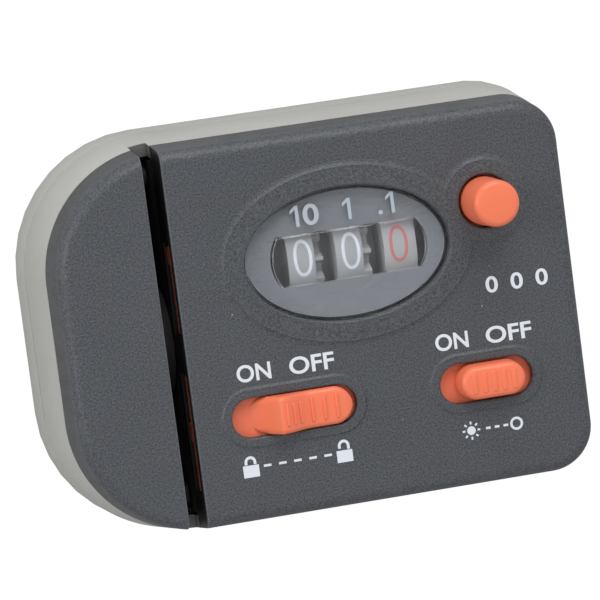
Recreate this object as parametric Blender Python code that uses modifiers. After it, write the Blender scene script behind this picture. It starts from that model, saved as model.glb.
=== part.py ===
"""Fishing line counter that rides on a rod and counts the line paid out in metres.

The line runs along Y, down the slot between the nose and the main case, over a
rubber-tyred wheel. A gear train of 20 to 1 turns the three number drums.
The case lies on its back with the face up: X is the long way, Y is the line's
way, Z is up. The origin is under the middle of the case, on the surface that
the rod pads stand on.
"""
import math

import bmesh
import bpy
from mathutils import Quaternion, Vector

MM = 0.001

# Clearances and overruns
GAP = 0.3 * MM
RUN_GAP = 0.25 * MM
OVERRUN = 1.0 * MM
BITE = 0.2 * MM

# Case
FACE_WIDTH = 73.9 * MM
FACE_DEPTH = 53.5 * MM
FRONT_HEIGHT = 7.0 * MM
REAR_HEIGHT = 10.5 * MM
BACK_HEIGHT = 8.0 * MM
PAD_HEIGHT = 4.5 * MM
WALL = 1.8 * MM
EDGE_FILLET = 1.8 * MM
NOSE_RADIUS = 17.0 * MM
CORNER_RADIUS = 6.4 * MM
DRAFT_SHARE = 0.114
BACK_PROFILE_SHARES = ((0.0, 1.0), (0.12, 0.2), (-0.015, 0.1), (-0.38, 0.027), (-0.88, 0.0))
BACK_ROUND = 1.6 * MM
NOSE_STEPS = 9
CORNER_STEPS = 5
FILLET_STEPS = 3

# Line slot between the nose and the main case
SLOT_FROM_LEFT = 15.15 * MM
SLOT_WIDTH = 2.6 * MM
SLOT_WALL = 1.5 * MM
SLOT_FLOOR_DROP = 15.0 * MM
SHELL_SLOT_DEPTH = 2.3 * MM
CHANNEL_DEEP = 4.5 * MM

# Dial, button and sliders, placed from the dial's centre
DIAL_FROM_SLOT = 26.15 * MM
DIAL_FROM_TOP = 17.9 * MM
DIAL_HALF_X = 14.93 * MM
DIAL_HALF_Y = 9.45 * MM
BUTTON_FROM_DIAL_X = 20.6 * MM
BUTTON_FROM_DIAL_Y = 4.4 * MM
LOCK_FROM_DIAL_X = -10.5 * MM
LOCK_ABOVE_MIDDLE = 1.605 * MM
LIGHT_FROM_DIAL_X = 17.65 * MM
LIGHT_FROM_DIAL_Y = -20.85 * MM
SLIDER_SLOT_WIDTH = 5.6 * MM
LOCK_SLOT_LENGTH = 18.05 * MM
LIGHT_SLOT_LENGTH = 13.6 * MM
SLIDER_COVER = 1.0 * MM
DIAL_STEPS = 40
END_STEPS = 7

# Lens and dial plate
LENS_DROP = 0.4 * MM
LENS_WALL = 0.7 * MM
LENS_ROUND = 0.3 * MM
LENS_RIM = 0.6 * MM
LENS_FLANGE = 1.4 * MM
LENS_FLANGE_THICK = 1.0 * MM
DIAL_THICK = 0.6 * MM
WINDOW_WIDTH = 20.1 * MM
WINDOW_HEIGHT = 7.1 * MM
WINDOW_SIDE_BULGE = 1.2 * MM
WINDOW_FROM_DIAL = 0.3 * MM
WINDOW_STEPS = 4

# Number drums
DRUM_RADIUS = 9.2 * MM
DRUM_WIDTH = 3.9 * MM
DRUM_PITCH = 7.0 * MM
DRUMS_FROM_DIAL = 0.7 * MM
DRUM_GAP = 0.5 * MM
DRUM_STEPS = 32
RING_TEETH = 20
TRANSFER_TEETH = 8
TRANSFER_MODULE = 0.8 * MM
RING_WIDTH = 1.3 * MM
RING_INSIDE = 6.2 * MM
RING_STEPS = 24
TRANSFER_WIDTH = 2.5 * MM
TRANSFER_ANGLE = math.radians(-24.4)
LUG_LENGTH = 1.8 * MM
LUG_WIDTH = 2.0 * MM
LUG_THICK = 0.7 * MM
LUG_ANGLE = math.radians(200.0)
HEART_RADIUS = 4.2 * MM
HEART_WAIST_SHARE = 0.62
HEART_THICK = 1.5 * MM
HEART_STEPS = 16

# Shafts, bushes and the counter frame
SHAFT_RADIUS = 0.8 * MM
SHAFT_STEPS = 12
BORE_STEPS = 16
BUSH_RADIUS = 1.8 * MM
BUSH_FLANGE_RADIUS = 2.4 * MM
BUSH_FLANGE_THICK = 0.5 * MM
PLATE_THICK = 1.0 * MM
PLATE_LEFT_FROM_DIAL = 15.7 * MM
PLATE_RIGHT_FROM_DIAL = 11.6 * MM
FRAME_TOP = 22.4 * MM
FRAME_FROM_BATTERY = 3.25 * MM
FRAME_EDGE = 0.6 * MM
FRAME_MARGIN = 2.6 * MM
SHAFT_OVERHANG = 0.7 * MM

# Measuring wheel and gear train
WHEEL_CIRCUMFERENCE = 50.0 * MM
WHEEL_WIDTH = 3.0 * MM
WHEEL_SINK = 0.44 * MM
WHEEL_CLEAR = 0.44 * MM
WHEEL_SIDE_CLEAR = 0.35 * MM
TYRE_THICK = 1.06 * MM
TYRE_WIDTH = 2.6 * MM
TYRE_GROOVE = 0.25 * MM
WHEEL_HOLES = 5
WHEEL_HOLE_STEPS = 8
WHEEL_STEPS = 28
FINE_MODULE = 0.4 * MM
COARSE_MODULE = 0.5 * MM
PINION_TEETH = 10
GEAR_TEETH = 25
DRUM_GEAR_TEETH = 32
FIRST_ANGLE = math.radians(193.2)
GEAR_WIDTH = 1.4 * MM
PINION_WIDTH = 1.8 * MM
LONG_PINION_WIDTH = 2.2 * MM
DRUM_GEAR_SHARE = 0.75
PRESSURE_ANGLE = math.radians(20.0)
ADDENDUM_SHARE = 0.9
DEDENDUM_SHARE = 1.2
TOOTH_SHARE = 0.41

# Line guides at the ends of the slot
GUIDE_LENGTH = 3.0 * MM
GUIDE_FROM_END = 4.0 * MM
GUIDE_DROP = 2.2 * MM
GUIDE_ROUND_STEPS = 6

# Line lock
LOCK_TRAVEL = 2.5 * MM
SLIDER_BASE_THICK = 1.4 * MM
SLIDER_BASE_MARGIN = 0.9 * MM
SLIDER_SIDE_GAP = 0.25 * MM
LOCK_KNOB_RIGHT_GAP = 0.7 * MM
LOCK_PEAK = 2.9 * MM
LOCK_PLATEAU = 0.95 * MM
LOCK_PEAK_SHARE = 0.27
LOCK_PLATEAU_SHARE = 0.55
LOCK_RAMP_STEPS = 5
LOCK_SCOOP_STEPS = 4
LOCK_ARM_SHARE = 0.25
LOCK_ARM_THICK = 1.2 * MM
LOCK_WEB_THICK = 1.2 * MM
LOCK_PAD_HEIGHT = 1.9 * MM
LOCK_FINGER_HEIGHT = 3.4 * MM
LOCK_FINGER_LENGTH = 2.6 * MM
LOCK_SET_BACK = 0.2 * MM
WINDOW_FROM_TOP = 13.1 * MM
WINDOW_FROM_BOTTOM = 4.8 * MM
WINDOW_RIB = 5.4 * MM
WINDOW_RIB_FROM_DIAL = -11.0 * MM
LOCK_WINDOW_HEIGHT = 4.0 * MM
RETAINER_THICK = 1.0 * MM
RETAINER_MARGIN = 2.4 * MM
RETAINER_POST_RADIUS = 0.8 * MM

# Light switch, circuit board and battery
LIGHT_TRAVEL = 2.2 * MM
LIGHT_KNOB_LENGTH = 9.8 * MM
LIGHT_KNOB_RISE = 2.4 * MM
LIGHT_KNOB_TAPER = 0.5 * MM
LEVER_SIZE = 1.8 * MM
LEVER_DEPTH = 1.4 * MM
SWITCH_LENGTH = 9.0 * MM
SWITCH_WIDTH = 5.0 * MM
SWITCH_HEIGHT = 4.2 * MM
BOARD_WIDTH = 28.0 * MM
BOARD_FROM_BOTTOM = 7.95 * MM
BOARD_DRUM_GAP = 0.45 * MM
BOARD_THICK = 1.2 * MM
BOARD_Z = 17.4 * MM
LED_RADIUS = 1.5 * MM
LED_HEIGHT = 3.6 * MM
LED_INSET = 2.6 * MM
LED_STEPS = 4
BATTERY_RADIUS = 10.0 * MM
BATTERY_THICK = 3.2 * MM
BATTERY_FROM_DIAL_X = 13.5 * MM
BATTERY_FROM_BOTTOM = 16.7 * MM
CONTACT_THICK = 0.4 * MM
CONTACT_WIDTH = 2.4 * MM
CONTACT_INSET = 3.7 * MM
POST_RADIUS = 1.5 * MM
DOOR_SIZE = 22.0 * MM
DOOR_THICK = 0.9 * MM
DOOR_RADIUS = 2.0 * MM
DOOR_CORNER_STEPS = 3
DOOR_BOSS_HEIGHT = 3.6 * MM
DOOR_SCREW_LENGTH = 5.4 * MM
DOOR_SCREW_INSET = 2.2 * MM

# Reset button, its spring and the reset lever
BUTTON_RADIUS = 3.45 * MM
BUTTON_HOLE_GAP = 0.35 * MM
BUTTON_RISE = 7.2 * MM
BUTTON_ROUND = 0.9 * MM
BUTTON_ROUND_STEPS = 3
BUTTON_STEPS = 24
BUTTON_FLANGE = 0.95 * MM
BUTTON_FLANGE_THICK = 1.2 * MM
BUTTON_TRAVEL = 2.4 * MM
STEM_RADIUS = 1.5 * MM
STEM_TIP_RADIUS = 0.5 * MM
STEM_END_Z = 18.6 * MM
TAB_TOP_Z = 21.6 * MM
TAB_MARGIN = 2.6 * MM
SPRING_RADIUS = 2.3 * MM
SPRING_WIRE = 0.25 * MM
SPRING_TURNS = 4
SPRING_POINTS = 9
LEVER_PIVOT_FROM_BUTTON = 9.9 * MM
LEVER_PIVOT_Z = 19.0 * MM
LEVER_HUB_RADIUS = 1.6 * MM
LEVER_ARM_WIDTH = 4.0 * MM
LEVER_ARM_THICK = 1.2 * MM
ARM_ROOT_ANGLES = (math.radians(213.0), math.radians(252.0))
FINGER_ROOT_ANGLES = (math.radians(95.0), math.radians(150.0))
FINGER_THICK = 0.55 * MM
FINGER_CLEAR = 1.2 * MM
FINGER_RISE = 3.1 * MM
FINGER_HEIGHT = 1.2 * MM

# Rod pads and screws
PAD_WIDTH = 7.5 * MM
PAD_LENGTH = 38.0 * MM
PAD_SPACE = 9.0 * MM
PAD_CENTRE_X = -6.5 * MM
PAD_SLOPE = 1.6 * MM
PAD_SEAT = 0.8 * MM
SCREW_HEAD_RADIUS = 1.7 * MM
SCREW_HEAD_HEIGHT = 1.0 * MM
SCREW_RADIUS = 0.75 * MM
SCREW_LENGTH = 19.5 * MM
BOSS_RADIUS = 2.2 * MM
BOSS_INSET = 4.8 * MM
NOSE_BOSS_X = 6.0 * MM
NOSE_BOSS_INSET = 5.0 * MM
SCREW_STEPS = 12

# Levels
BACK_Z = PAD_HEIGHT
PART_Z = BACK_Z + BACK_HEIGHT
SEAM_Z = PART_Z + REAR_HEIGHT
FACE_Z = SEAM_Z + FRONT_HEIGHT
FILLET_Z = FACE_Z - EDGE_FILLET
COVER_INSIDE_Z = FACE_Z - WALL
BACK_INSIDE_Z = BACK_Z + WALL
SLOT_FLOOR_Z = FACE_Z - SLOT_FLOOR_DROP
SLIDER_POCKET_Z = FACE_Z - SLIDER_COVER
SLIDER_TOP_Z = SLIDER_POCKET_Z - GAP
SLIDER_BASE_Z = SLIDER_TOP_Z - SLIDER_BASE_THICK

# Plan positions
SLOT_X = -FACE_WIDTH / 2 + SLOT_FROM_LEFT
SLOT_LEFT = SLOT_X - SLOT_WIDTH / 2
SLOT_RIGHT = SLOT_X + SLOT_WIDTH / 2
CHANNEL_LEFT = SLOT_LEFT - SLOT_WALL
CHANNEL_RIGHT = SLOT_RIGHT + SLOT_WALL
DIAL_X = SLOT_X + DIAL_FROM_SLOT
DIAL_Y = FACE_DEPTH / 2 - DIAL_FROM_TOP
BUTTON_X = DIAL_X + BUTTON_FROM_DIAL_X
BUTTON_Y = DIAL_Y + BUTTON_FROM_DIAL_Y
LOCK_X = DIAL_X + LOCK_FROM_DIAL_X
LOCK_Y = (DIAL_Y - DIAL_HALF_Y - FACE_DEPTH / 2) / 2 + LOCK_ABOVE_MIDDLE
LIGHT_X = DIAL_X + LIGHT_FROM_DIAL_X
LIGHT_Y = DIAL_Y + LIGHT_FROM_DIAL_Y
BATTERY_X = DIAL_X + BATTERY_FROM_DIAL_X
BATTERY_Y = -FACE_DEPTH / 2 + BATTERY_FROM_BOTTOM
DRUMS_X = DIAL_X + DRUMS_FROM_DIAL
FRAME_BACK_Y = BATTERY_Y + BATTERY_RADIUS + FRAME_FROM_BATTERY

# Dial stack, from the lens down to the drums
LENS_TOP_Z = FACE_Z - LENS_DROP
LENS_UNDER_Z = LENS_TOP_Z - LENS_WALL
DIAL_TOP_Z = LENS_UNDER_Z - GAP
DIAL_UNDER_Z = DIAL_TOP_Z - DIAL_THICK
DRUM_Z = DIAL_UNDER_Z - DRUM_GAP - DRUM_RADIUS

# Shaft centres in the YZ plane
WHEEL_RADIUS = WHEEL_CIRCUMFERENCE / math.tau
WHEEL_Z = SEAM_Z - WHEEL_SINK - WHEEL_RADIUS
FINE_CENTRES = (PINION_TEETH + GEAR_TEETH) / 2 * FINE_MODULE
COARSE_CENTRES = (PINION_TEETH + DRUM_GEAR_TEETH) / 2 * COARSE_MODULE
WHEEL_Y = DIAL_Y - math.sqrt(COARSE_CENTRES ** 2 - (DRUM_Z - WHEEL_Z) ** 2)
FIRST_Y = WHEEL_Y + FINE_CENTRES * math.cos(FIRST_ANGLE)
FIRST_Z = WHEEL_Z + FINE_CENTRES * math.sin(FIRST_ANGLE)
TRANSFER_CENTRES = (RING_TEETH + TRANSFER_TEETH) / 2 * TRANSFER_MODULE
TRANSFER_Y = DIAL_Y + TRANSFER_CENTRES * math.cos(TRANSFER_ANGLE)
TRANSFER_Z = DRUM_Z + TRANSFER_CENTRES * math.sin(TRANSFER_ANGLE)
PIVOT_Y = BUTTON_Y + LEVER_PIVOT_FROM_BUTTON

# Planes along the shafts
POCKET_LEFT = SLOT_X - WHEEL_WIDTH / 2 - WHEEL_SIDE_CLEAR
POCKET_RIGHT = SLOT_X + WHEEL_WIDTH / 2 + WHEEL_SIDE_CLEAR
BUSH_FLANGE_X = CHANNEL_RIGHT + GAP
DRIVE_X = BUSH_FLANGE_X + BUSH_FLANGE_THICK + GAP
FIRST_X = DRIVE_X + (PINION_WIDTH - GEAR_WIDTH) / 2
SECOND_X = DRIVE_X + PINION_WIDTH + GAP
DRUM_GEAR_X = SECOND_X + GEAR_WIDTH + (LONG_PINION_WIDTH - GEAR_WIDTH) * DRUM_GEAR_SHARE
PLATE_LEFT_X = DIAL_X - PLATE_LEFT_FROM_DIAL
PLATE_RIGHT_X = DIAL_X + PLATE_RIGHT_FROM_DIAL

PARTS = "fishing_line_counter"
CUTTERS = "cutters"

# The cyclic turn that lays a piece's own Z along the world's X
ALONG_X = Quaternion((0.5, 0.5, 0.5, 0.5))
UPRIGHT = Quaternion((1.0, 0.0, 0.0, 0.0))
# A quarter turn that stands an outline up in X and Z, its thickness towards -Y
STANDING = Quaternion((1.0, 0.0, 0.0), math.pi / 2)

MATERIALS = {
    "black_case": ((0.045, 0.046, 0.05, 1.0), 0.55, 0.0),
    "grey_case": ((0.30, 0.29, 0.27, 1.0), 0.6, 0.0),
    "back_grey": ((0.33, 0.32, 0.29, 1.0), 0.6, 0.0),
    "orange": ((0.90, 0.16, 0.06, 1.0), 0.45, 0.0),
    "clear": ((0.85, 0.88, 0.9, 1.0), 0.08, 0.0),
    "dial_grey": ((0.2, 0.21, 0.23, 1.0), 0.35, 0.0),
    "drum_grey": ((0.34, 0.34, 0.35, 1.0), 0.5, 0.0),
    "drum_white": ((0.7, 0.7, 0.7, 1.0), 0.5, 0.0),
    "gear_white": ((0.75, 0.75, 0.72, 1.0), 0.45, 0.0),
    "steel": ((0.55, 0.55, 0.56, 1.0), 0.3, 1.0),
    "brass": ((0.7, 0.5, 0.2, 1.0), 0.3, 1.0),
    "rubber": ((0.02, 0.02, 0.02, 1.0), 0.85, 0.0),
    "board_green": ((0.02, 0.2, 0.07, 1.0), 0.45, 0.0),
    "switch_black": ((0.03, 0.03, 0.03, 1.0), 0.4, 0.0),
}


def clear_scene():
    for thing in list(bpy.data.objects):
        bpy.data.objects.remove(thing, do_unlink=True)


def make_collection(name):
    collection = bpy.data.collections.new(name)
    bpy.context.scene.collection.children.link(collection)
    return collection


def make_material(name):
    colour, roughness, metallic = MATERIALS[name]
    material = bpy.data.materials.get(name) or bpy.data.materials.new(name)
    material.use_nodes = True
    shader = material.node_tree.nodes["Principled BSDF"]
    shader.inputs["Base Color"].default_value = colour
    shader.inputs["Roughness"].default_value = roughness
    shader.inputs["Metallic"].default_value = metallic
    return material


def add_object(name, mesh, place=(0, 0, 0), turn=UPRIGHT):
    thing = bpy.data.objects.new(name, mesh)
    bpy.data.collections[PARTS].objects.link(thing)
    thing.rotation_mode = "QUATERNION"
    thing.location = place
    thing.rotation_quaternion = turn
    return thing


def finish(thing, material, sharp=math.radians(35.0)):
    """Give a piece its material and smooth shading."""
    thing.data.materials.clear()
    thing.data.materials.append(make_material(material))
    thing.data.shade_smooth()
    thing.data.set_sharp_from_angle(angle=sharp)
    return thing


def to_cutters(thing):
    thing.hide_render = True
    thing.display_type = "WIRE"
    bpy.data.collections[PARTS].objects.unlink(thing)
    bpy.data.collections[CUTTERS].objects.link(thing)
    return thing


def combine(thing, others, operation):
    for other in others:
        to_cutters(other)
        step = thing.modifiers.new(operation.lower() + "_" + other.name, "BOOLEAN")
        step.operation = operation
        step.solver = "EXACT"
        step.object = other
    return thing


def cut(thing, *others):
    return combine(thing, others, "DIFFERENCE")


def join(thing, *others):
    return combine(thing, others, "UNION")


def keep_inside(thing, *others):
    return combine(thing, others, "INTERSECT")


def box(name, low, high):
    """A box between two corners, from a cube primitive."""
    bm = bmesh.new()
    bmesh.ops.create_cube(bm, size=1.0)
    size = Vector(high) - Vector(low)
    bmesh.ops.scale(bm, vec=size, verts=bm.verts)
    mesh = bpy.data.meshes.new(name)
    bm.to_mesh(mesh)
    bm.free()
    return add_object(name, mesh, (Vector(low) + Vector(high)) / 2)


def rod(name, radius, place, length, steps=SHAFT_STEPS, turn=ALONG_X):
    """A round bar that starts at a place and runs along the turned Z."""
    bm = bmesh.new()
    bmesh.ops.create_cone(bm, cap_ends=True, segments=steps, radius1=radius, radius2=radius, depth=length)
    bmesh.ops.translate(bm, vec=(0, 0, length / 2), verts=bm.verts)
    mesh = bpy.data.meshes.new(name)
    bm.to_mesh(mesh)
    bm.free()
    return add_object(name, mesh, place, turn)


def turned(name, profile, place, steps=SHAFT_STEPS, turn=ALONG_X, closed=False):
    """A turned shape: a profile of (radius, height) with a Screw modifier."""
    mesh = bpy.data.meshes.new(name)
    points = [(radius, 0, height) for radius, height in profile]
    edges = [(i, i + 1) for i in range(len(points) - 1)]
    if closed:
        edges.append((len(points) - 1, 0))
    mesh.from_pydata(points, edges, [])
    thing = add_object(name, mesh, place, turn)
    screw = thing.modifiers.new("turn", "SCREW")
    screw.steps = steps
    screw.render_steps = steps
    screw.use_merge_vertices = True
    screw.merge_threshold = MM / 1000
    return thing


def ring(name, inner, outer, place, width, steps=SHAFT_STEPS, turn=ALONG_X):
    profile = ((outer, width), (outer, 0), (inner, 0), (inner, width))
    return turned(name, profile, place, steps, turn, closed=True)


def flat_piece(name, outlines, thickness, place, turn=UPRIGHT):
    """A flat piece from outlines in its own XY plane; later outlines are holes."""
    curve = bpy.data.curves.new(name, "CURVE")
    curve.dimensions = "2D"
    curve.fill_mode = "BOTH"
    curve.extrude = thickness / 2
    for outline in outlines:
        spline = curve.splines.new("POLY")
        spline.points.add(len(outline) - 1)
        for point, (x, y) in zip(spline.points, outline):
            point.co = (x, y, 0, 1)
        spline.use_cyclic_u = True
    flat = bpy.data.objects.new(name + "_curve", curve)
    bpy.context.scene.collection.objects.link(flat)
    bpy.context.view_layer.update()
    solid = flat.evaluated_get(bpy.context.evaluated_depsgraph_get())
    mesh = bpy.data.meshes.new_from_object(solid)
    bpy.data.objects.remove(flat, do_unlink=True)
    mesh.name = name
    bm = bmesh.new()
    bm.from_mesh(mesh)
    bmesh.ops.remove_doubles(bm, verts=bm.verts, dist=MM / 1000)
    bmesh.ops.recalc_face_normals(bm, faces=bm.faces)
    lowest = min(vert.co.z for vert in bm.verts)
    bmesh.ops.translate(bm, vec=(0, 0, -lowest), verts=bm.verts)
    bm.to_mesh(mesh)
    bm.free()
    return add_object(name, mesh, place, turn)


def lofted(name, rings):
    """A closed solid through like rings of points, lowest ring first."""
    bm = bmesh.new()
    loops = [[bm.verts.new(point) for point in points] for points in rings]
    count = len(loops[0])
    for lower, upper in zip(loops, loops[1:]):
        for i in range(count):
            after = (i + 1) % count
            bm.faces.new((lower[i], lower[after], upper[after], upper[i]))
    bm.faces.new(list(reversed(loops[0])))
    bm.faces.new(loops[-1])
    mesh = bpy.data.meshes.new(name)
    bm.to_mesh(mesh)
    bm.free()
    return add_object(name, mesh)


def circle(radius, steps, x=0.0, y=0.0):
    return [
        (x + radius * math.cos(math.tau * i / steps), y + radius * math.sin(math.tau * i / steps))
        for i in range(steps)
    ]


def ellipse(half_x, half_y, steps, x=0.0, y=0.0):
    return [(x + half_x * u, y + half_y * v) for u, v in circle(1.0, steps)]


def rounded(low, high, radii, steps):
    """A rectangle with its own radius and steps at each corner, from low left, turning left."""
    (x0, y0), (x1, y1) = low, high
    corners = ((x0, y0, 1, 1), (x1, y0, -1, 1), (x1, y1, -1, -1), (x0, y1, 1, -1))
    points = []
    for number, (x, y, sx, sy) in enumerate(corners):
        radius = radii[number]
        start = math.pi + number * math.pi / 2
        for i in range(steps[number] + 1):
            angle = start + math.pi / 2 * i / steps[number]
            points.append((x + sx * radius + radius * math.cos(angle), y + sy * radius + radius * math.sin(angle)))
    return points


def stadium(length, width, x=0.0, y=0.0, steps=END_STEPS):
    """An outline with two round ends, along X."""
    radius = width / 2
    reach = length / 2 - radius
    points = []
    for side, start in ((1, -math.pi / 2), (-1, math.pi / 2)):
        for i in range(steps + 1):
            angle = start + math.pi * i / steps
            points.append((x + side * reach + radius * math.cos(angle), y + radius * math.sin(angle)))
    return points


def case_outline(offset):
    """The plan of the case, grown by an offset on every side."""
    half_x = FACE_WIDTH / 2 + offset
    half_y = FACE_DEPTH / 2 + offset
    nose = NOSE_RADIUS + offset
    corner = CORNER_RADIUS + offset
    steps = (NOSE_STEPS, CORNER_STEPS, CORNER_STEPS, NOSE_STEPS)
    return rounded((-half_x, -half_y), (half_x, half_y), (nose, corner, corner, nose), steps)


def side_offset(z):
    """How far the drafted wall stands out from the top outline at a level."""
    return DRAFT_SHARE * (FILLET_Z - z)


def case_ring(offset, z):
    return [(x, y, z) for x, y in case_outline(offset)]


def front_block(name, inset, low_z):
    """The outer form of the front covers, or their inside when it is inset."""
    fillet = max(EDGE_FILLET - inset, GAP)
    top_z = FACE_Z - inset
    rings = [case_ring(side_offset(low_z) - inset, low_z)]
    for i in range(FILLET_STEPS + 1):
        angle = math.pi / 2 * i / FILLET_STEPS
        z = top_z - fillet + fillet * math.sin(angle)
        rings.append(case_ring(fillet * (math.cos(angle) - 1) - inset, z))
    return lofted(name, rings)


def slot_cutter(name, side):
    """A box over everything on the far side of one wall of the line slot."""
    edge = SLOT_RIGHT if side > 0 else SLOT_LEFT
    far = edge - side * FACE_WIDTH
    low = (min(edge, far), -FACE_DEPTH, SEAM_Z - OVERRUN)
    return box(name, low, (max(edge, far), FACE_DEPTH, FACE_Z + OVERRUN))


def screw_places():
    """The four case screws: two in the main case and two in the nose."""
    half_x = FACE_WIDTH / 2
    half_y = FACE_DEPTH / 2
    main_x = half_x - BOSS_INSET
    nose_x = -half_x + NOSE_BOSS_X + BOSS_RADIUS
    main_y = half_y - BOSS_INSET
    nose_y = half_y - NOSE_BOSS_INSET - BOSS_RADIUS
    return [(main_x, main_y), (main_x, -main_y), (nose_x, nose_y), (nose_x, -nose_y)]


def boss(name, place, low_z, high_z, radius=BOSS_RADIUS):
    x, y = place
    return rod(name, radius, (x, y, low_z), high_z - low_z, SCREW_STEPS, UPRIGHT)


def lock_windows():
    """The two openings in the slot's wall for the jaw: their lowest and highest Y."""
    rib_y = DIAL_Y + WINDOW_RIB_FROM_DIAL
    upper = (rib_y + WINDOW_RIB / 2, FACE_DEPTH / 2 - WINDOW_FROM_TOP)
    lower = (-FACE_DEPTH / 2 + WINDOW_FROM_BOTTOM, rib_y - WINDOW_RIB / 2)
    return (upper, lower)


def front_cover():
    low_z = SEAM_Z + GAP / 2
    cover = front_block("front_cover", 0.0, low_z)
    hollow = front_block("front_hollow", WALL, low_z - OVERRUN)
    room = box(
        "front_room",
        (CHANNEL_RIGHT, -FACE_DEPTH, SEAM_Z - FRONT_HEIGHT),
        (FACE_WIDTH, FACE_DEPTH, FACE_Z),
    )
    keep_inside(hollow, room)
    cut(cover, hollow)
    cut(cover, slot_cutter("front_side", 1))
    posts = [
        boss("front_boss_%d" % i, place, low_z, COVER_INSIDE_Z + BITE)
        for i, place in enumerate(screw_places()[:2])
    ]
    join(cover, *posts)
    holes = [
        boss("front_bore_%d" % i, place, low_z - OVERRUN, COVER_INSIDE_Z - GAP, SCREW_RADIUS + GAP)
        for i, place in enumerate(screw_places()[:2])
    ]
    opening = flat_piece(
        "lens_opening",
        [ellipse(DIAL_HALF_X, DIAL_HALF_Y, DIAL_STEPS)],
        WALL + 2 * OVERRUN,
        (DIAL_X, DIAL_Y, COVER_INSIDE_Z - OVERRUN),
    )
    button_hole = rod(
        "button_hole",
        BUTTON_RADIUS + BUTTON_HOLE_GAP,
        (BUTTON_X, BUTTON_Y, COVER_INSIDE_Z - OVERRUN),
        WALL + 2 * OVERRUN,
        BUTTON_STEPS,
        UPRIGHT,
    )
    cut(cover, opening, button_hole, *holes)
    for name, x, y, length, travel in (
        ("lock", LOCK_X, LOCK_Y, LOCK_SLOT_LENGTH, LOCK_TRAVEL),
        ("light", LIGHT_X, LIGHT_Y, LIGHT_SLOT_LENGTH, LIGHT_TRAVEL),
    ):
        slot = flat_piece(
            name + "_slot",
            [stadium(length, SLIDER_SLOT_WIDTH)],
            WALL + 2 * OVERRUN,
            (x, y, COVER_INSIDE_Z - OVERRUN),
        )
        low, high = slider_base_span(x, length, travel)
        reach = SLIDER_SLOT_WIDTH / 2 + SLIDER_BASE_MARGIN + GAP
        pocket = box(
            name + "_pocket",
            (low - travel - GAP, y - reach, COVER_INSIDE_Z - OVERRUN),
            (high + GAP, y + reach, SLIDER_POCKET_Z),
        )
        cut(cover, slot, pocket)
    for i, (low, high) in enumerate(lock_windows()):
        window = box(
            "lock_window_%d" % i,
            (SLOT_RIGHT - OVERRUN, low, COVER_INSIDE_Z - LOCK_WINDOW_HEIGHT),
            (CHANNEL_RIGHT + OVERRUN, high, COVER_INSIDE_Z),
        )
        cut(cover, window)
    return finish(cover, "black_case")


def slider_base_span(x, length, travel):
    """The lowest and highest X of a slider's base, which covers its slot at both ends."""
    return (x - length / 2 - GAP / 2, x + length / 2 + travel + GAP)


def nose_cover():
    low_z = SEAM_Z + GAP / 2
    cover = front_block("nose_cover", 0.0, low_z)
    hollow = front_block("nose_hollow", WALL, low_z - OVERRUN)
    room = box(
        "nose_room",
        (-FACE_WIDTH, -FACE_DEPTH, SEAM_Z - FRONT_HEIGHT),
        (CHANNEL_LEFT, FACE_DEPTH, FACE_Z),
    )
    keep_inside(hollow, room)
    cut(cover, hollow)
    cut(cover, slot_cutter("nose_side", -1))
    posts = [
        boss("nose_boss_%d" % i, place, low_z, COVER_INSIDE_Z + BITE)
        for i, place in enumerate(screw_places()[2:])
    ]
    join(cover, *posts)
    holes = [
        boss("nose_bore_%d" % i, place, low_z - OVERRUN, COVER_INSIDE_Z - GAP, SCREW_RADIUS + GAP)
        for i, place in enumerate(screw_places()[2:])
    ]
    cut(cover, *holes)
    return finish(cover, "black_case")


def line_trench(name, floor_z):
    """The line slot itself, cut down to a floor."""
    return box(name, (SLOT_LEFT, -FACE_DEPTH, floor_z), (SLOT_RIGHT, FACE_DEPTH, FACE_Z))


def rear_shell():
    low_z = PART_Z + GAP / 2
    high_z = SEAM_Z - GAP / 2
    rings = [case_ring(side_offset(z), z) for z in (low_z, high_z)]
    shell = lofted("rear_shell", rings)
    inside_z = (low_z - OVERRUN, high_z + OVERRUN)
    hollow = lofted("rear_hollow", [case_ring(side_offset(z) - WALL, z) for z in inside_z])
    cut(shell, hollow, line_trench("shell_trench", SEAM_Z - SHELL_SLOT_DEPTH))
    return finish(shell, "grey_case")


def line_channel():
    """The block under the line slot, between the shell's end walls, that carries the wheel."""
    low_z = PART_Z - CHANNEL_DEEP / 2
    high_z = SEAM_Z - GAP / 2
    channel = box("line_channel", (CHANNEL_LEFT, -FACE_DEPTH, low_z), (CHANNEL_RIGHT, FACE_DEPTH, high_z))
    inside = case_outline(side_offset(SEAM_Z) - WALL - GAP)
    room = flat_piece("channel_room", [inside], high_z - low_z + 2 * OVERRUN, (0, 0, low_z - OVERRUN))
    keep_inside(channel, room)
    pocket = rod(
        "wheel_pocket",
        WHEEL_RADIUS + WHEEL_CLEAR,
        (POCKET_LEFT, WHEEL_Y, WHEEL_Z),
        POCKET_RIGHT - POCKET_LEFT,
        WHEEL_STEPS,
    )
    bearing = rod(
        "bush_bore",
        BUSH_RADIUS + GAP,
        (CHANNEL_LEFT - OVERRUN, WHEEL_Y, WHEEL_Z),
        CHANNEL_RIGHT - CHANNEL_LEFT + 2 * OVERRUN,
        BORE_STEPS,
    )
    cut(channel, line_trench("line_trench", SLOT_FLOOR_Z), pocket, bearing)
    return finish(channel, "switch_black")


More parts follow.
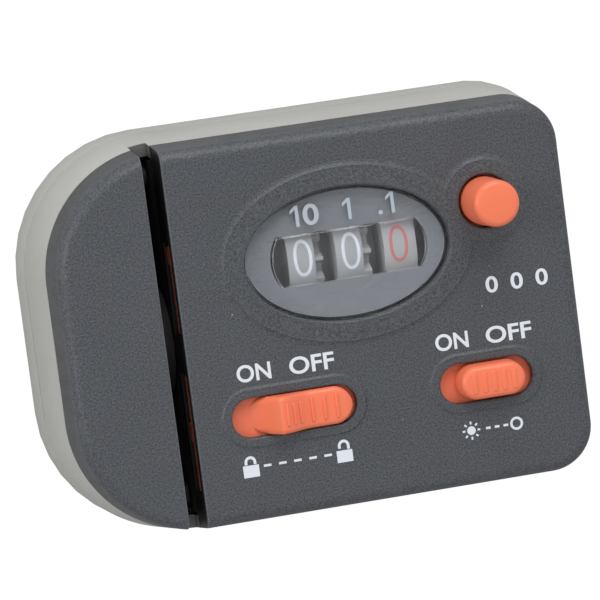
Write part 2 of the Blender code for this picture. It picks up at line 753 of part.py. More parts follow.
def back_cover():
    high_z = PART_Z - GAP / 2
    top_offset = side_offset(PART_Z)
    rings = []
    for offset_share, height_share in reversed(BACK_PROFILE_SHARES):
        z = BACK_Z + (high_z - BACK_Z) * height_share
        rings.append(case_ring(top_offset + BACK_ROUND * offset_share, z))
    cover = lofted("back_cover", rings)
    inner = []
    for offset_share, height_share in reversed(BACK_PROFILE_SHARES):
        z = BACK_INSIDE_Z + (high_z + OVERRUN - BACK_INSIDE_Z) * height_share
        inner.append(case_ring(top_offset - WALL + BACK_ROUND * offset_share, z))
    cut(cover, lofted("back_hollow", inner))
    floor_z = BACK_INSIDE_Z - BITE
    bosses = [boss("back_boss_%d" % i, place, floor_z, high_z) for i, place in enumerate(screw_places())]
    board_posts = [
        boss("board_post_%d" % i, place, floor_z, BOARD_Z - GAP, POST_RADIUS)
        for i, place in enumerate(board_post_places())
    ]
    door_x, door_y = door_screw_place()
    boss_top_z = BACK_INSIDE_Z + DOOR_BOSS_HEIGHT
    door_boss = boss("door_boss", (door_x, door_y), floor_z, boss_top_z, POST_RADIUS)
    join(cover, *bosses, *board_posts, door_boss)
    bores = []
    for i, place in enumerate(screw_places()):
        bores.append(boss("back_bore_%d" % i, place, BACK_Z - OVERRUN, high_z + OVERRUN, SCREW_RADIUS + GAP))
        head_z = BACK_Z + SCREW_HEAD_HEIGHT + 2 * GAP
        bores.append(boss("head_bore_%d" % i, place, BACK_Z - OVERRUN, head_z, SCREW_HEAD_RADIUS + GAP))
    recess = flat_piece(
        "door_recess",
        [door_outline(GAP)],
        OVERRUN + DOOR_THICK + GAP,
        (BATTERY_X, BATTERY_Y, BACK_Z - OVERRUN),
    )
    bay = rod(
        "battery_bay",
        BATTERY_RADIUS + 2 * GAP,
        (BATTERY_X, BATTERY_Y, BACK_Z - OVERRUN),
        WALL + 2 * OVERRUN,
        DRUM_STEPS,
        UPRIGHT,
    )
    door_bore = boss("door_bore", (door_x, door_y), BACK_Z, boss_top_z + OVERRUN, SCREW_RADIUS + GAP)
    cut(cover, recess, bay, door_bore, *bores)
    for i, x in enumerate(pad_places()):
        seat = box(
            "pad_seat_%d" % i,
            (x - PAD_WIDTH / 2 - GAP, -PAD_LENGTH / 2 - GAP, BACK_Z - OVERRUN),
            (x + PAD_WIDTH / 2 + GAP, PAD_LENGTH / 2 + GAP, BACK_Z + PAD_SEAT),
        )
        cut(cover, seat)
    return finish(cover, "back_grey")


def pad_places():
    reach = (PAD_SPACE + PAD_WIDTH) / 2
    return (PAD_CENTRE_X - reach, PAD_CENTRE_X + reach)


def board_post_places():
    reach = BOARD_WIDTH / 2 - POST_RADIUS
    y = BATTERY_Y - BATTERY_RADIUS / 2
    return ((BATTERY_X - reach, y), (BATTERY_X + reach, y))


def door_outline(grow=0.0):
    half = DOOR_SIZE / 2 + grow
    radius = DOOR_RADIUS + grow
    return rounded((-half, -half), (half, half), (radius,) * 4, (DOOR_CORNER_STEPS,) * 4)


def door_screw_place():
    reach = DOOR_SIZE / 2 - DOOR_SCREW_INSET
    return (BATTERY_X - reach, BATTERY_Y - reach)


def rod_pads():
    for name, x, side in zip(("rod_pad_left", "rod_pad_right"), pad_places(), (1, -1)):
        outer = -side * PAD_WIDTH / 2
        inner = side * PAD_WIDTH / 2
        top = BACK_Z + PAD_SEAT - GAP
        outline = [
            (outer, 0.0),
            (inner - side * PAD_SLOPE, 0.0),
            (inner, BACK_Z / 2),
            (inner, top),
            (outer, top),
        ]
        pad = flat_piece(name, [outline], PAD_LENGTH, (x, PAD_LENGTH / 2, 0), STANDING)
        finish(pad, "rubber")


def battery_door():
    door = flat_piece("battery_door", [door_outline()], DOOR_THICK, (BATTERY_X, BATTERY_Y, BACK_Z))
    x, y = door_screw_place()
    cut(door, boss("door_hole", (x, y), BACK_Z - OVERRUN, BACK_Z + OVERRUN + DOOR_THICK, SCREW_RADIUS + GAP))
    finish(door, "back_grey")


def screw(name, place, low_z, length, head_height=SCREW_HEAD_HEIGHT):
    x, y = place
    profile = (
        (0.0, length),
        (SCREW_RADIUS, length),
        (SCREW_RADIUS, head_height),
        (SCREW_HEAD_RADIUS, head_height),
        (SCREW_HEAD_RADIUS, 0.0),
        (0.0, 0.0),
    )
    return turned(name, profile, (x, y, low_z), SCREW_STEPS, UPRIGHT)


def screws():
    for i, place in enumerate(screw_places()):
        finish(screw("case_screw_%d" % (i + 1), place, BACK_Z + GAP, SCREW_LENGTH), "steel")
    door = screw("door_screw", door_screw_place(), 0, DOOR_SCREW_LENGTH, DOOR_THICK / 2)
    door.location.z = BACK_Z - DOOR_THICK / 2 - GAP
    finish(door, "steel")


def oval_ring(grow, z):
    """A ring of points round the dial, grown from the lens opening."""
    return [(x, y, z) for x, y in ellipse(DIAL_HALF_X + grow, DIAL_HALF_Y + grow, DIAL_STEPS, DIAL_X, DIAL_Y)]


def lens():
    """The clear cup over the dial, with a flange under the cover."""
    flange_top = COVER_INSIDE_Z - GAP
    flange_z = flange_top - LENS_FLANGE_THICK
    rings = [
        oval_ring(-GAP - LENS_RIM, LENS_UNDER_Z),
        oval_ring(-GAP - LENS_RIM, flange_z),
        oval_ring(LENS_FLANGE, flange_z),
        oval_ring(LENS_FLANGE, flange_top),
        oval_ring(-GAP, flange_top),
        oval_ring(-GAP, LENS_TOP_Z - LENS_ROUND),
        oval_ring(-GAP - LENS_ROUND, LENS_TOP_Z),
    ]
    finish(lofted("lens", rings), "clear")


def window_outline():
    """The dial's window, with bulging ends."""
    half_x = WINDOW_WIDTH / 2
    half_y = WINDOW_HEIGHT / 2
    points = []
    for side in (1, -1):
        for i in range(WINDOW_STEPS + 1):
            share = -1 + 2 * i / WINDOW_STEPS
            reach = half_x + WINDOW_SIDE_BULGE * (1 - share * share)
            points.append((WINDOW_FROM_DIAL + side * reach, side * share * half_y))
    return points


def dial_plate():
    inset = 2 * GAP + LENS_RIM
    outline = ellipse(DIAL_HALF_X - inset, DIAL_HALF_Y - inset, DIAL_STEPS)
    plate = flat_piece(
        "dial_plate", [outline, window_outline()], DIAL_THICK, (DIAL_X, DIAL_Y, DIAL_UNDER_Z)
    )
    finish(plate, "dial_grey")


def involute(angle):
    return math.tan(angle) - angle


def gear_outline(teeth, module, facing, tooth_there=True):
    """A gear's outline with a tooth, or a gap, that faces the given direction."""
    pitch = teeth * module / 2
    base = pitch * math.cos(PRESSURE_ANGLE)
    half_pitch = TOOTH_SHARE * math.pi / teeth
    radii = (pitch - DEDENDUM_SHARE * module, pitch, pitch + ADDENDUM_SHARE * module)
    halves = []
    for radius in radii:
        lean = involute(math.acos(min(1.0, base / radius)))
        halves.append(half_pitch + involute(PRESSURE_ANGLE) - lean)
    start = facing if tooth_there else facing + math.pi / teeth
    points = []
    for tooth in range(teeth):
        middle = start + math.tau * tooth / teeth
        for radius, half in zip(radii, halves):
            points.append((radius * math.cos(middle - half), radius * math.sin(middle - half)))
        for radius, half in zip(reversed(radii), reversed(halves)):
            points.append((radius * math.cos(middle + half), radius * math.sin(middle + half)))
    return points


def gear(name, teeth, module, facing, tooth_there, width, place):
    return flat_piece(name, [gear_outline(teeth, module, facing, tooth_there)], width, place, ALONG_X)


def bored(thing, low_x, high_x, y, z):
    """Cut the hole for a shaft through a gear or a drum."""
    hole = rod(thing.name + "_bore", SHAFT_RADIUS + RUN_GAP, (low_x - OVERRUN, y, z), high_x - low_x + 2 * OVERRUN)
    return cut(thing, hole)


def measuring_wheel():
    left = SLOT_X - WHEEL_WIDTH / 2
    hub_radius = WHEEL_RADIUS - TYRE_THICK - GAP
    profile = (
        (hub_radius, WHEEL_WIDTH),
        (hub_radius, 0.0),
        (SHAFT_RADIUS + RUN_GAP, 0.0),
        (SHAFT_RADIUS + RUN_GAP, WHEEL_WIDTH),
    )
    hub = turned("measuring_wheel", profile, (left, WHEEL_Y, WHEEL_Z), WHEEL_STEPS, closed=True)
    holes = []
    for i in range(WHEEL_HOLES):
        angle = math.tau * i / WHEEL_HOLES
        reach = (hub_radius + BUSH_RADIUS) / 2
        y = WHEEL_Y + reach * math.cos(angle)
        z = WHEEL_Z + reach * math.sin(angle)
        across = WHEEL_WIDTH + 2 * OVERRUN
        holes.append(rod("wheel_hole_%d" % i, SHAFT_RADIUS, (left - OVERRUN, y, z), across, WHEEL_HOLE_STEPS))
    cut(hub, *holes)
    finish(hub, "gear_white")


def wheel_tyre():
    left = SLOT_X - TYRE_WIDTH / 2
    outer = WHEEL_RADIUS
    inner = WHEEL_RADIUS - TYRE_THICK
    profile = (
        (outer, TYRE_WIDTH),
        (outer - TYRE_GROOVE, TYRE_WIDTH / 2),
        (outer, 0.0),
        (inner, 0.0),
        (inner, TYRE_WIDTH),
    )
    tyre = turned("wheel_tyre", profile, (left, WHEEL_Y, WHEEL_Z), WHEEL_STEPS, closed=True)
    finish(tyre, "rubber")


def shaft(name, start_x, end_x, y, z):
    finish(rod(name, SHAFT_RADIUS, (start_x, y, z), end_x - start_x), "steel")


def shafts():
    plate_end = PLATE_LEFT_X + PLATE_THICK + SHAFT_OVERHANG
    bush_out = BUSH_FLANGE_THICK + GAP + SHAFT_OVERHANG
    shaft("wheel_shaft", CHANNEL_LEFT - bush_out, plate_end, WHEEL_Y, WHEEL_Z)
    shaft("first_gear_shaft", CHANNEL_RIGHT + GAP, plate_end, FIRST_Y, FIRST_Z)
    right_end = PLATE_RIGHT_X + PLATE_THICK + SHAFT_OVERHANG
    shaft("drum_shaft", DRUM_GEAR_X - SHAFT_OVERHANG, right_end, DIAL_Y, DRUM_Z)
    shaft("transfer_shaft", PLATE_LEFT_X - SHAFT_OVERHANG, right_end, TRANSFER_Y, TRANSFER_Z)
    lever_end = BUTTON_X + LEVER_ARM_WIDTH / 2 + SHAFT_OVERHANG
    shaft("lever_pin", PLATE_LEFT_X - SHAFT_OVERHANG, lever_end, PIVOT_Y, LEVER_PIVOT_Z)


def bush(name, wall_x, wall_thick, flange_side, y, z):
    """A flanged bush that sits in a wall, with its flange on one side of it."""
    bore = SHAFT_RADIUS + RUN_GAP
    length = wall_thick + GAP + BUSH_FLANGE_THICK
    flange = wall_thick + GAP
    profile = [
        (bore, 0.0),
        (bore, length),
        (BUSH_FLANGE_RADIUS, length),
        (BUSH_FLANGE_RADIUS, flange),
        (BUSH_RADIUS, flange),
        (BUSH_RADIUS, 0.0),
    ]
    if flange_side < 0:
        profile = [(radius, length - height) for radius, height in reversed(profile)]
        wall_x -= GAP + BUSH_FLANGE_THICK
    return turned(name, profile, (wall_x, y, z), closed=True)


def bushes():
    left = bush("wheel_bush_left", CHANNEL_LEFT, POCKET_LEFT - CHANNEL_LEFT, -1, WHEEL_Y, WHEEL_Z)
    finish(left, "brass")
    right = bush("wheel_bush_right", POCKET_RIGHT, CHANNEL_RIGHT - POCKET_RIGHT, 1, WHEEL_Y, WHEEL_Z)
    finish(right, "brass")
    finish(bush("drum_bush_left", PLATE_LEFT_X, PLATE_THICK, 1, DIAL_Y, DRUM_Z), "brass")
    finish(bush("drum_bush_right", PLATE_RIGHT_X, PLATE_THICK, -1, DIAL_Y, DRUM_Z), "brass")


def gear_train():
    to_first = FIRST_ANGLE
    to_wheel = FIRST_ANGLE + math.pi
    to_drum = math.atan2(DRUM_Z - WHEEL_Z, DIAL_Y - WHEEL_Y)
    wheel_axis = (DRIVE_X, WHEEL_Y, WHEEL_Z)
    drive = gear("drive_pinion", PINION_TEETH, FINE_MODULE, to_first, True, PINION_WIDTH, wheel_axis)
    bored(drive, DRIVE_X, DRIVE_X + PINION_WIDTH, WHEEL_Y, WHEEL_Z)
    finish(drive, "brass")
    first = gear("first_gear", GEAR_TEETH, FINE_MODULE, to_wheel, False, GEAR_WIDTH, (FIRST_X, FIRST_Y, FIRST_Z))
    first_pinion_x = FIRST_X + GEAR_WIDTH - BITE
    first_pinion = gear(
        "first_pinion",
        PINION_TEETH,
        FINE_MODULE,
        to_wheel,
        True,
        SECOND_X + GEAR_WIDTH + GAP - first_pinion_x,
        (first_pinion_x, FIRST_Y, FIRST_Z),
    )
    join(first, first_pinion)
    bored(first, FIRST_X, SECOND_X + GEAR_WIDTH + GAP, FIRST_Y, FIRST_Z)
    finish(first, "gear_white")
    second = gear(
        "second_gear", GEAR_TEETH, FINE_MODULE, to_first, False, GEAR_WIDTH, (SECOND_X, WHEEL_Y, WHEEL_Z)
    )
    second_pinion = gear(
        "second_pinion",
        PINION_TEETH,
        COARSE_MODULE,
        to_drum,
        True,
        LONG_PINION_WIDTH + BITE,
        (SECOND_X + GEAR_WIDTH - BITE, WHEEL_Y, WHEEL_Z),
    )
    join(second, second_pinion)
    bored(second, SECOND_X, SECOND_X + GEAR_WIDTH + LONG_PINION_WIDTH, WHEEL_Y, WHEEL_Z)
    finish(second, "gear_white")
    drum_gear = gear(
        "drum_gear",
        DRUM_GEAR_TEETH,
        COARSE_MODULE,
        to_drum + math.pi,
        False,
        GEAR_WIDTH,
        (DRUM_GEAR_X, DIAL_Y, DRUM_Z),
    )
    bored(drum_gear, DRUM_GEAR_X, DRUM_GEAR_X + GEAR_WIDTH, DIAL_Y, DRUM_Z)
    finish(drum_gear, "gear_white")


def heart_outline():
    """The heart cam that brings a drum back to nought."""
    points = []
    for i in range(HEART_STEPS):
        angle = math.tau * i / HEART_STEPS
        share = HEART_WAIST_SHARE + (1 - HEART_WAIST_SHARE) * abs(math.sin(angle / 2))
        points.append((HEART_RADIUS * share * math.cos(angle), HEART_RADIUS * share * math.sin(angle)))
    return points


def drum(name, position, has_ring, has_lug, material):
    centre_x = DRUMS_X + position * DRUM_PITCH
    left = centre_x - DRUM_WIDTH / 2
    right = centre_x + DRUM_WIDTH / 2
    body = rod(name, DRUM_RADIUS, (left, DIAL_Y, DRUM_Z), DRUM_WIDTH, DRUM_STEPS)
    heart_x = left - HEART_THICK
    heart = flat_piece(name + "_heart", [heart_outline()], HEART_THICK + BITE, (heart_x, DIAL_Y, DRUM_Z), ALONG_X)
    join(body, heart)
    if has_ring:
        teeth = flat_piece(
            name + "_ring",
            [gear_outline(RING_TEETH, TRANSFER_MODULE, TRANSFER_ANGLE, False), circle(RING_INSIDE, RING_STEPS)],
            RING_WIDTH + BITE,
            (right - BITE, DIAL_Y, DRUM_Z),
            ALONG_X,
        )
        join(body, teeth)
    if has_lug:
        lug = flat_piece(
            name + "_lug",
            [lug_outline()],
            LUG_THICK + BITE,
            (left - LUG_THICK, DIAL_Y, DRUM_Z),
            ALONG_X,
        )
        join(body, lug)
    bored(body, heart_x, right + RING_WIDTH, DIAL_Y, DRUM_Z)
    return finish(body, material)


def lug_outline():
    """The tooth that steps the next drum once a turn."""
    outer = DRUM_RADIUS - GAP
    inner = outer - LUG_LENGTH
    half = LUG_WIDTH / 2
    points = []
    for along, across in ((inner, -half), (outer, -half), (outer, half), (inner, half)):
        x = along * math.cos(LUG_ANGLE) - across * math.sin(LUG_ANGLE)
        y = along * math.sin(LUG_ANGLE) + across * math.cos(LUG_ANGLE)
        points.append((x, y))
    return points


def drums():
    drum("drum_tens", -1, True, False, "drum_grey")
    drum("drum_units", 0, True, True, "drum_grey")
    drum("drum_tenths", 1, False, True, "drum_white")
    for name, position in (("transfer_pinion_tens", -1), ("transfer_pinion_units", 0)):
        x = DRUMS_X + position * DRUM_PITCH + DRUM_WIDTH / 2 + GAP
        pinion = gear(
            name,
            TRANSFER_TEETH,
            TRANSFER_MODULE,
            TRANSFER_ANGLE + math.pi,
            True,
            TRANSFER_WIDTH,
            (x, TRANSFER_Y, TRANSFER_Z),
        )
        bored(pinion, x, x + TRANSFER_WIDTH, TRANSFER_Y, TRANSFER_Z)
        finish(pinion, "gear_white")


def frame_plate_outline(with_wheel):
    """A side plate of the counter frame, in Y and Z, wide enough for its shafts."""
    base_z = BACK_INSIDE_Z + GAP
    margin = FRAME_MARGIN
    back_y = FIRST_Y - margin if with_wheel else FRAME_BACK_Y - margin
    front_y = PIVOT_Y + LEVER_HUB_RADIUS + RUN_GAP + FRAME_EDGE
    return [
        (back_y, base_z),
        (TRANSFER_Y + margin, base_z),
        (front_y, TRANSFER_Z - margin),
        (front_y, LEVER_PIVOT_Z + LEVER_HUB_RADIUS + RUN_GAP + FRAME_EDGE),
        (DIAL_Y + margin, FRAME_TOP),
        (DIAL_Y - margin, FRAME_TOP),
        (back_y, max(FIRST_Z, WHEEL_Z) + margin),
    ]


def counter_frame():
    base_z = BACK_INSIDE_Z + GAP
    plates = []
    for name, x, with_wheel in (
        ("counter_frame", PLATE_LEFT_X, True),
        ("frame_right", PLATE_RIGHT_X, False),
    ):
        plates.append(flat_piece(name, [frame_plate_outline(with_wheel)], PLATE_THICK, (x, 0, 0), ALONG_X))
    frame = plates[0]
    floor = box(
        "frame_floor",
        (PLATE_LEFT_X + BITE, FRAME_BACK_Y, base_z),
        (PLATE_RIGHT_X + PLATE_THICK - BITE, TRANSFER_Y, base_z + PLATE_THICK),
    )
    half = STEM_RADIUS + TAB_MARGIN
    tab = box(
        "frame_tab",
        (PLATE_RIGHT_X + BITE, BUTTON_Y - half, TAB_TOP_Z - PLATE_THICK),
        (BUTTON_X + half, BUTTON_Y + half, TAB_TOP_Z),
    )
    join(frame, plates[1], floor, tab)
    across = PLATE_RIGHT_X - PLATE_LEFT_X + PLATE_THICK + 2 * OVERRUN
    start = PLATE_LEFT_X - OVERRUN
    for name, radius, y, z in (
        ("drum_bore", BUSH_RADIUS + GAP, DIAL_Y, DRUM_Z),
        ("transfer_bore", SHAFT_RADIUS + RUN_GAP, TRANSFER_Y, TRANSFER_Z),
    ):
        cut(frame, rod(name, radius, (start, y, z), across))
    tube_start = PLATE_RIGHT_X - OVERRUN
    tube_bore = LEVER_HUB_RADIUS + RUN_GAP
    through = PLATE_THICK + 2 * OVERRUN
    cut(frame, rod("tube_bore", tube_bore, (tube_start, PIVOT_Y, LEVER_PIVOT_Z), through, BORE_STEPS))
    for name, y, z in (
        ("wheel_end_bore", WHEEL_Y, WHEEL_Z),
        ("first_end_bore", FIRST_Y, FIRST_Z),
        ("pin_bore", PIVOT_Y, LEVER_PIVOT_Z),
    ):
        cut(frame, rod(name, SHAFT_RADIUS + RUN_GAP, (start, y, z), through))
    stem_hole = rod(
        "stem_hole",
        STEM_RADIUS + GAP,
        (BUTTON_X, BUTTON_Y, TAB_TOP_Z - PLATE_THICK - OVERRUN),
        through,
        BORE_STEPS,
        UPRIGHT,
    )
    cut(frame, stem_hole)
    finish(frame, "steel")


def line_guides():
    """Two rounded blocks that carry the line at the mouths of the slot."""
    half = SLOT_WIDTH / 2 - GAP
    height = SEAM_Z - GUIDE_DROP - SLOT_FLOOR_Z - GAP
    radius = GUIDE_LENGTH / 2
    outline = [(-radius, 0.0), (radius, 0.0)]
    for i in range(GUIDE_ROUND_STEPS + 1):
        angle = math.pi * i / GUIDE_ROUND_STEPS
        outline.append((radius * math.cos(angle), height - radius + radius * math.sin(angle)))
    for name, side in (("line_guide_upper", 1), ("line_guide_lower", -1)):
        y = side * (FACE_DEPTH / 2 - GUIDE_FROM_END)
        guide = flat_piece(name, [outline], 2 * half, (SLOT_X - half, y, SLOT_FLOOR_Z + GAP), ALONG_X)
        finish(guide, "switch_black")


def slider_base(name, x, y, length, travel):
    low, high = slider_base_span(x, length, travel)
    half = SLIDER_SLOT_WIDTH / 2 + SLIDER_BASE_MARGIN
    return box(name, (low, y - half, SLIDER_BASE_Z), (high, y + half, SLIDER_TOP_Z))


def linelock_slider():
    base = slider_base("linelock_slider", LOCK_X, LOCK_Y, LOCK_SLOT_LENGTH, LOCK_TRAVEL)
    slot_end = LOCK_X - LOCK_SLOT_LENGTH / 2
    start = slot_end + LOCK_TRAVEL + SLIDER_SIDE_GAP
    end = LOCK_X + LOCK_SLOT_LENGTH / 2 - LOCK_KNOB_RIGHT_GAP
    length = end - start
    width = SLIDER_SLOT_WIDTH - 2 * SLIDER_SIDE_GAP
    low = SLIDER_TOP_Z - BITE
    peak_z = FACE_Z + LOCK_PEAK
    plateau_z = FACE_Z + LOCK_PLATEAU
    plan = flat_piece(
        "lock_knob",
        [stadium(length, width)],
        peak_z + OVERRUN - low,
        (start + length / 2, LOCK_Y, low),
    )
    ramp = length * LOCK_PEAK_SHARE
    scoop = length * (LOCK_PLATEAU_SHARE - LOCK_PEAK_SHARE)
    foot_z = SLIDER_TOP_Z - BITE / 2
    profile = [(0.0, low - OVERRUN)]
    for i in range(LOCK_RAMP_STEPS + 1):
        share = i / LOCK_RAMP_STEPS
        ease = share * share * (3 - 2 * share)
        profile.append((ramp * share, foot_z + (peak_z - foot_z) * ease))
    for i in range(1, LOCK_SCOOP_STEPS + 1):
        share = i / LOCK_SCOOP_STEPS
        ease = share * (2 - share)
        profile.append((ramp + scoop * share, peak_z + (plateau_z - peak_z) * ease))
    profile += [(length, plateau_z), (length, low - OVERRUN)]
    side = flat_piece("lock_profile", [profile], 2 * width, (start, LOCK_Y + width, 0), STANDING)
    keep_inside(plan, side)
    join(base, plan)
    finish(base, "orange")


def lock_plate():
    """The jaw that the line lock pushes across the slot, with its web and arm."""
    face_x = SLOT_RIGHT + LOCK_SET_BACK
    web_x = CHANNEL_RIGHT + LOCK_TRAVEL + GAP
    top_z = SLIDER_BASE_Z - GAP
    web_z = top_z - LOCK_ARM_THICK
    pad_top = COVER_INSIDE_Z - GAP
    (upper_low, upper_high), (lower_low, lower_high) = lock_windows()
    plate = box(
        "lock_plate",
        (web_x, lower_low + GAP, web_z),
        (web_x + LOCK_WEB_THICK, upper_high - GAP, top_z),
    )
    arm = box(
        "lock_arm",
        (web_x + BITE, LOCK_Y - SLIDER_SLOT_WIDTH / 2, web_z + GAP / 2),
        (LOCK_X + LOCK_SLOT_LENGTH * LOCK_ARM_SHARE, LOCK_Y + SLIDER_SLOT_WIDTH / 2, top_z - GAP / 2),
    )
    pads = []
    for i, (low, high) in enumerate(((upper_low, upper_high), (lower_low, lower_high))):
        pads.append(
            box(
                "lock_pad_%d" % i,
                (face_x, low + GAP, pad_top - LOCK_PAD_HEIGHT),
                (web_x + BITE, high - GAP, pad_top),
            )
        )
        finger_y = high - GAP - BITE if i == 0 else low + (high - low) / 2 + LOCK_FINGER_LENGTH / 2
        pads.append(
            box(
                "lock_finger_%d" % i,
                (face_x, finger_y - LOCK_FINGER_LENGTH, pad_top - LOCK_FINGER_HEIGHT),
                (web_x + 2 * BITE, finger_y, top_z - BITE),
            )
        )
    join(plate, arm, *pads)
    finish(plate, "orange")


def lock_retainer():
    """The plate under the line lock, hung from the cover by its posts."""
    arm_z = SLIDER_BASE_Z - GAP - LOCK_ARM_THICK
    high_z = arm_z - GAP
    half = SLIDER_SLOT_WIDTH / 2 + SLIDER_BASE_MARGIN + RETAINER_MARGIN
    low_x = LOCK_X - LOCK_SLOT_LENGTH / 2 + LOCK_TRAVEL
    high_x = LOCK_X + LOCK_SLOT_LENGTH / 2
    plate = box(
        "lock_retainer",
        (low_x, LOCK_Y - half, high_z - RETAINER_THICK),
        (high_x, LOCK_Y + half, high_z),
    )
    posts = []
    reach = half - RETAINER_POST_RADIUS - BITE
    for x in (low_x + 2 * RETAINER_POST_RADIUS, high_x - 2 * RETAINER_POST_RADIUS):
        for y in (LOCK_Y - reach, LOCK_Y + reach):
            posts.append(
                boss("retainer_post_%d" % len(posts), (x, y), high_z - BITE, COVER_INSIDE_Z - GAP, RETAINER_POST_RADIUS)
            )
    join(plate, *posts)
    finish(plate, "switch_black")


def light_slider():
    base = slider_base("light_slider", LIGHT_X, LIGHT_Y, LIGHT_SLOT_LENGTH, LIGHT_TRAVEL)
    start = LIGHT_X - LIGHT_SLOT_LENGTH / 2 + LIGHT_TRAVEL + SLIDER_SIDE_GAP
    width = SLIDER_SLOT_WIDTH - 2 * SLIDER_SIDE_GAP
    centre = start + LIGHT_KNOB_LENGTH / 2
    rings = []
    for inset, z in (
        (0.0, SLIDER_TOP_Z - BITE),
        (0.0, FACE_Z),
        (LIGHT_KNOB_TAPER / 2, FACE_Z + LIGHT_KNOB_RISE - LIGHT_KNOB_TAPER),
        (LIGHT_KNOB_TAPER, FACE_Z + LIGHT_KNOB_RISE),
    ):
        outline = stadium(LIGHT_KNOB_LENGTH - 2 * inset, width - 2 * inset, centre, LIGHT_Y)
        rings.append([(x, y, z) for x, y in outline])
    join(base, lofted("light_knob", rings))
    finish(base, "orange")
    lever_x = centre
    low_z = BOARD_Z + BOARD_THICK + GAP + SWITCH_HEIGHT - LEVER_DEPTH + GAP
    half = LEVER_SIZE / 2
    lever = box(
        "switch_lever",
        (lever_x - half, LIGHT_Y - half, low_z),
        (lever_x + half, LIGHT_Y + half, SLIDER_BASE_Z - GAP),
    )
    finish(lever, "switch_black")


def light_circuit():
    board_low = -FACE_DEPTH / 2 + BOARD_FROM_BOTTOM
    board_high = DIAL_Y - DRUM_RADIUS - BOARD_DRUM_GAP
    board = box(
        "circuit_board",
        (BATTERY_X - BOARD_WIDTH / 2, board_low, BOARD_Z),
        (BATTERY_X + BOARD_WIDTH / 2, board_high, BOARD_Z + BOARD_THICK),
    )
    finish(board, "board_green")
    top_z = BOARD_Z + BOARD_THICK + GAP
    knob_start = LIGHT_X - LIGHT_SLOT_LENGTH / 2 + LIGHT_TRAVEL + SLIDER_SIDE_GAP
    lever_x = knob_start + LIGHT_KNOB_LENGTH / 2
    switch_x = lever_x - LIGHT_TRAVEL / 2
    body = box(
        "switch_body",
        (switch_x - SWITCH_LENGTH / 2, LIGHT_Y - SWITCH_WIDTH / 2, top_z),
        (switch_x + SWITCH_LENGTH / 2, LIGHT_Y + SWITCH_WIDTH / 2, top_z + SWITCH_HEIGHT),
    )
    reach = (LEVER_SIZE + LIGHT_TRAVEL) / 2 + GAP
    half = LEVER_SIZE / 2 + GAP
    track = box(
        "switch_track",
        (switch_x - reach, LIGHT_Y - half, top_z + SWITCH_HEIGHT - LEVER_DEPTH),
        (switch_x + reach, LIGHT_Y + half, top_z + SWITCH_HEIGHT + OVERRUN),
    )
    cut(body, track)
    finish(body, "switch_black")
    led_x = BATTERY_X - BOARD_WIDTH / 2 + LED_INSET
    led_y = board_high - LED_INSET
    dome = [(0.0, LED_HEIGHT)]
    for i in range(1, LED_STEPS + 1):
        angle = math.pi / 2 * i / LED_STEPS
        dome.append((LED_RADIUS * math.sin(angle), LED_HEIGHT - LED_RADIUS + LED_RADIUS * math.cos(angle)))
    dome += [(LED_RADIUS, 0.0), (0.0, 0.0)]
    led = turned("led", dome, (led_x, led_y, top_z), SHAFT_STEPS, UPRIGHT)
    finish(led, "clear")


def battery():
    """The button cell on its door, with the two contacts that reach up to the board."""
    cell_z = BACK_Z + DOOR_THICK + GAP
    cell = rod("battery", BATTERY_RADIUS, (BATTERY_X, BATTERY_Y, cell_z), BATTERY_THICK, DRUM_STEPS, UPRIGHT)
    finish(cell, "steel")
    half = CONTACT_WIDTH / 2
    tuck = half - GAP / 2
    leg_top = BOARD_Z - GAP
    positive_z = cell_z + BATTERY_THICK + GAP
    positive = box(
        "contact_positive",
        (BATTERY_X - BATTERY_RADIUS / 2, BATTERY_Y - half, positive_z),
        (BATTERY_X + BATTERY_RADIUS / 2, BATTERY_Y + half, positive_z + CONTACT_THICK),
    )
    positive_leg = box(
        "positive_leg",
        (BATTERY_X - CONTACT_THICK / 2, BATTERY_Y - tuck, positive_z + BITE),
        (BATTERY_X + CONTACT_THICK / 2, BATTERY_Y + tuck, leg_top),
    )
    join(positive, positive_leg)
    finish(positive, "brass")
    leg_x = BATTERY_X + max(BATTERY_RADIUS + GAP, BOARD_WIDTH / 2 - CONTACT_INSET)
    negative = box(
        "contact_negative",
        (leg_x, BATTERY_Y - half, BACK_INSIDE_Z + GAP),
        (leg_x + CONTACT_THICK, BATTERY_Y + half, leg_top),
    )
    foot = box(
        "negative_foot",
        (leg_x - CONTACT_WIDTH, BATTERY_Y - tuck, leg_top - CONTACT_THICK - BITE),
        (leg_x + BITE, BATTERY_Y + tuck, leg_top - BITE),
    )
    join(negative, foot)
    finish(negative, "brass")


def reset_button():
    flange_top = COVER_INSIDE_Z - GAP
    flange_z = flange_top - BUTTON_FLANGE_THICK
    top_z = FACE_Z + BUTTON_RISE
    profile = [(0.0, top_z)]
    for i in range(BUTTON_ROUND_STEPS + 1):
        angle = math.pi / 2 * i / BUTTON_ROUND_STEPS
        radius = BUTTON_RADIUS - BUTTON_ROUND + BUTTON_ROUND * math.sin(angle)
        profile.append((radius, top_z - BUTTON_ROUND + BUTTON_ROUND * math.cos(angle)))
    profile += [
        (BUTTON_RADIUS, flange_top),
        (BUTTON_RADIUS + BUTTON_FLANGE, flange_top),
        (BUTTON_RADIUS + BUTTON_FLANGE, flange_z),
        (STEM_RADIUS, flange_z),
        (STEM_RADIUS, STEM_END_Z + STEM_RADIUS),
        (STEM_TIP_RADIUS, STEM_END_Z),
        (0.0, STEM_END_Z),
    ]
    button = turned("reset_button", profile, (BUTTON_X, BUTTON_Y, 0), BUTTON_STEPS, UPRIGHT)
    finish(button, "orange")


